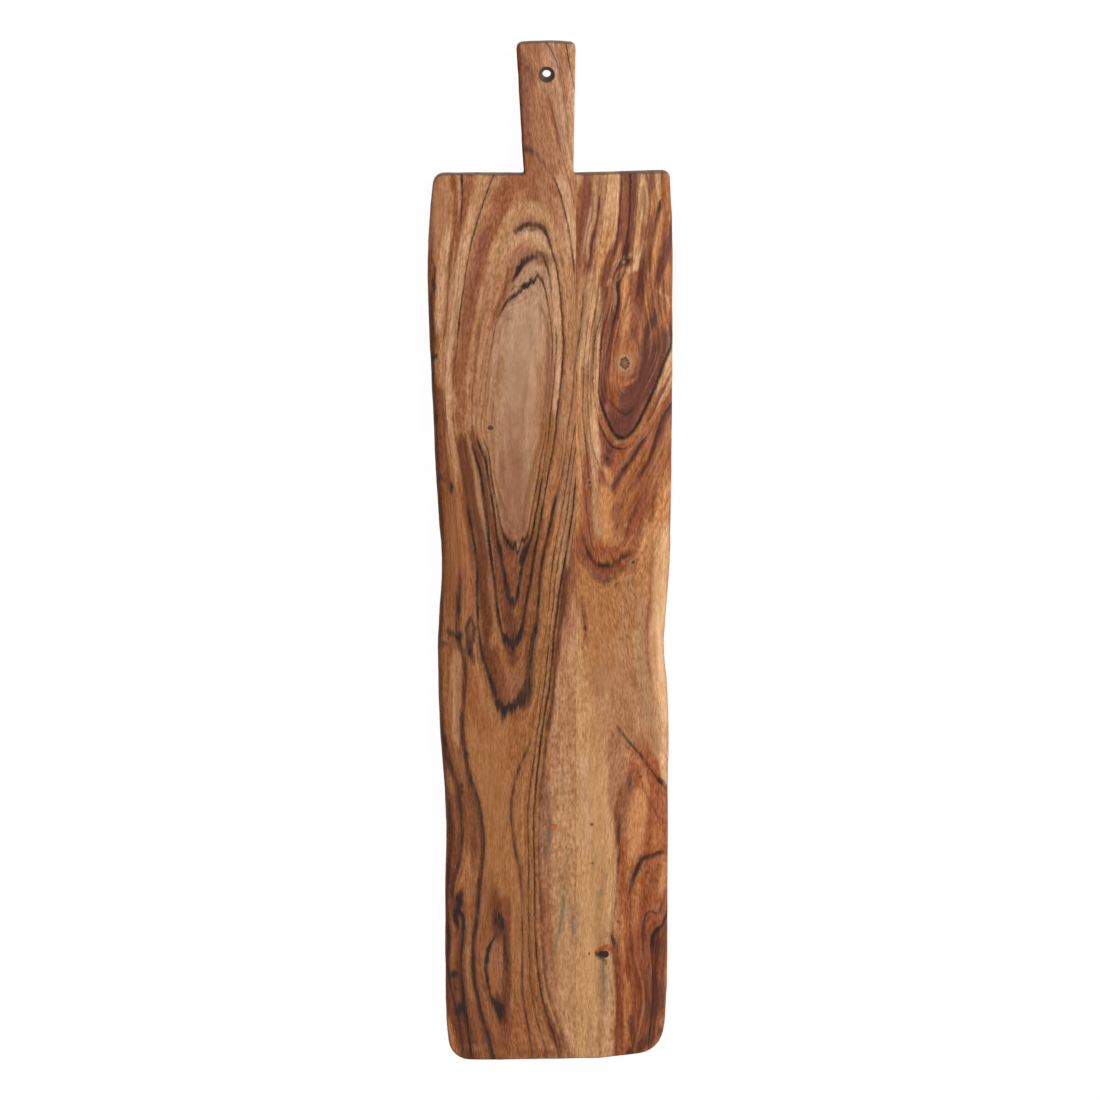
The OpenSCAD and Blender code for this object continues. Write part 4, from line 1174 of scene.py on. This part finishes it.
SIDE_KNOTS = [
    (623.5, 363, 14, 17, 0.28, BRANCH_KNOT),
    (588.8, 482, 4, 5, 0.5, PIN_KNOT),
    (632, 562, 4.5, 5, 0.5, PIN_KNOT),
    (639.3, 777.5, 3, 3, 0.3, TINY_KNOT),
    (591, 825.5, 2.5, 2.5, 0.3, TINY_KNOT),
    (591.6, 864.5, 1.8, 1.8, 0.3, TINY_KNOT),
    (588.5, 956, 1.8, 1.8, 0.3, TINY_KNOT),
    (617.4, 923.6, 2.5, 2.5, 0.3, TINY_KNOT),
]
side_stave = fine_plank("side_stave", "side_stave_wood", seam_side=-1)
side_spots = {
    "smudge": SIDE_SMUDGES, "toothed": SIDE_FLAMES, "calm": SIDE_CALM, "stripy": SIDE_STRIPES,
    "grey": SIDE_GREYS,
}
draw_figure(side_stave, SIDE_RINGS, "brick", SIDE_STROKES, side_spots, SIDE_FIBRES)
side_stave.data.materials.append(figured_wood("side_stave_figure", SIDE_KNOTS))
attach(side_stave, "root")
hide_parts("side_stave")

# Glue line
# A film of wood glue a fifth of a millimetre thick, cured brown in the straight seam between the staves.
# It was squeezed thin in the clamps, and lies level with both faces.
GLUE_PALE, GLUE_DARK = (150, 104, 72), (112, 74, 52)
GLUE_CLOUDS = (0.004, 0.03, 0.004)
GLUE_ROUGHNESS = 0.6


def plain_coat(node, name, clouds_of, pale, dark, roughness):
    """Gives a CAD piece one cloudy material of two colours."""
    material = bpy.data.materials.new(name)
    material.use_nodes = True
    tree = material.node_tree
    place = tree.nodes.new("ShaderNodeTexCoord").outputs["Object"]
    shader = tree.nodes["Principled BSDF"]
    feed(tree, shader.inputs["Base Color"], cover(tree, clouds_of(tree, place), opaque(pale), opaque(dark)))
    shader.inputs["Roughness"].default_value = roughness
    piece = frame["nodes"][node]
    piece.data.materials.clear()
    piece.data.materials.append(material)


def glue_clouds(tree, place):
    """Long faint clouds in the film."""
    return grain_noise(tree, place, GLUE_CLOUDS, detail=2)


plain_coat("glue_line", "cured_glue_film", glue_clouds, GLUE_PALE, GLUE_DARK, GLUE_ROUGHNESS)

# Knot fill
# Dark resin that closes the small open knot near the foot of the side stave.
# It was poured into the knot's two pockets and sanded level with the serving face.
RESIN_DARK, RESIN_BROWN = (24, 18, 16), (62, 42, 32)
RESIN_CLOUDS = (0.0015, 0.0015, 0.0015)
RESIN_ROUGHNESS = 0.35


def resin_clouds(tree, place):
    """Small clouds with clear dark between them."""
    return fade(tree, grain_noise(tree, place, RESIN_CLOUDS, detail=3), start=0.4, end=0.7)


plain_coat("knot_fill", "dark_knot_resin", resin_clouds, RESIN_DARK, RESIN_BROWN, RESIN_ROUGHNESS)

# Floor
# A plain white sweep under the board, just below its rest face.
# It shows white to the camera and keeps the board's faint shadow.
FLOOR_HALF, FLOOR_DROP = 6, 0.0002
FLOOR_GLOW, FLOOR_GREY = 0.965, 0.06
floor_mesh = bpy.data.meshes.new("floor")
floor_shape = bmesh.new()
bmesh.ops.create_grid(floor_shape, x_segments=1, y_segments=1, size=FLOOR_HALF)
bmesh.ops.translate(floor_shape, verts=floor_shape.verts, vec=(0, 0, -FLOOR_DROP))
floor_shape.to_mesh(floor_mesh)
floor_shape.free()
floor = bpy.data.objects.new("floor", floor_mesh)
bpy.context.scene.collection.objects.link(floor)
floor_paint = bpy.data.materials.new("white_sweep")
floor_paint.use_nodes = True
floor_tree = floor_paint.node_tree
floor_tree.nodes.clear()
rays = floor_tree.nodes.new("ShaderNodeLightPath")
seen = maths(floor_tree, "ADD", rays.outputs["Is Camera Ray"], rays.outputs["Is Glossy Ray"])
seen = maths(floor_tree, "ADD", seen, rays.outputs["Is Transmission Ray"])
glow = floor_tree.nodes.new("ShaderNodeEmission")
feed(floor_tree, glow.inputs["Strength"], times(floor_tree, seen, FLOOR_GLOW))
matt = floor_tree.nodes.new("ShaderNodeBsdfDiffuse")
matt.inputs["Color"].default_value = (FLOOR_GREY, FLOOR_GREY, FLOOR_GREY, 1)
both = floor_tree.nodes.new("ShaderNodeAddShader")
floor_tree.links.new(glow.outputs[0], both.inputs[0])
floor_tree.links.new(matt.outputs[0], both.inputs[1])
floor_output = floor_tree.nodes.new("ShaderNodeOutputMaterial")
floor_tree.links.new(both.outputs[0], floor_output.inputs[0])
floor_mesh.materials.append(floor_paint)

# Light
# One large soft lamp from the upper right, aimed at the board's middle.
# Pale surroundings fill its shadows.
SKY_STRENGTH = 0.5
LAMP_PLACE = Vector((2.1, 0.9, 2.0))
LAMP_SIZE = 1.6
LAMP_POWER = 64
sky = bpy.data.worlds.new("pale_studio")
bpy.context.scene.world = sky
sky.use_nodes = True
sky.node_tree.nodes["Background"].inputs["Color"].default_value = (1, 1, 1, 1)
sky.node_tree.nodes["Background"].inputs["Strength"].default_value = SKY_STRENGTH
lamp = bpy.data.lights.new("key", "AREA")
lamp.size = LAMP_SIZE
lamp.energy = LAMP_POWER
lamp_holder = bpy.data.objects.new("key", lamp)
lamp_holder.location = LAMP_PLACE
lamp_holder.rotation_euler = (-LAMP_PLACE).to_track_quat("-Z", "Y").to_euler()
bpy.context.scene.collection.objects.link(lamp_holder)

# Camera
# Above the board and a little towards the handle, far away with a long lens.
# The frame is as wide as the photograph, with a trim that makes up for the tilt.
CAMERA_AWAY = 10.0
CAMERA_TILT = math.radians(8.5)
SENSOR_WIDTH = 36
PHOTO_WIDTH = 1100
FRAME_TRIM = 0.9915
AIM_ALONG = 0.002
camera_data = bpy.data.cameras.new("camera")
camera_data.sensor_width = SENSOR_WIDTH
camera_data.lens = SENSOR_WIDTH * CAMERA_AWAY / (PHOTO_WIDTH * PIXEL * FRAME_TRIM)
camera_data.clip_end = 100
camera = bpy.data.objects.new("camera", camera_data)
aim = Vector((0, AIM_ALONG, (cad_low[2] + cad_high[2]) / 2))
camera.location = aim + CAMERA_AWAY * Vector((0, math.sin(CAMERA_TILT), math.cos(CAMERA_TILT)))
camera.rotation_euler = (-CAMERA_TILT, 0, 0)
bpy.context.scene.collection.objects.link(camera)
bpy.context.scene.camera = camera

bpy.context.scene.view_settings.view_transform = "Standard"
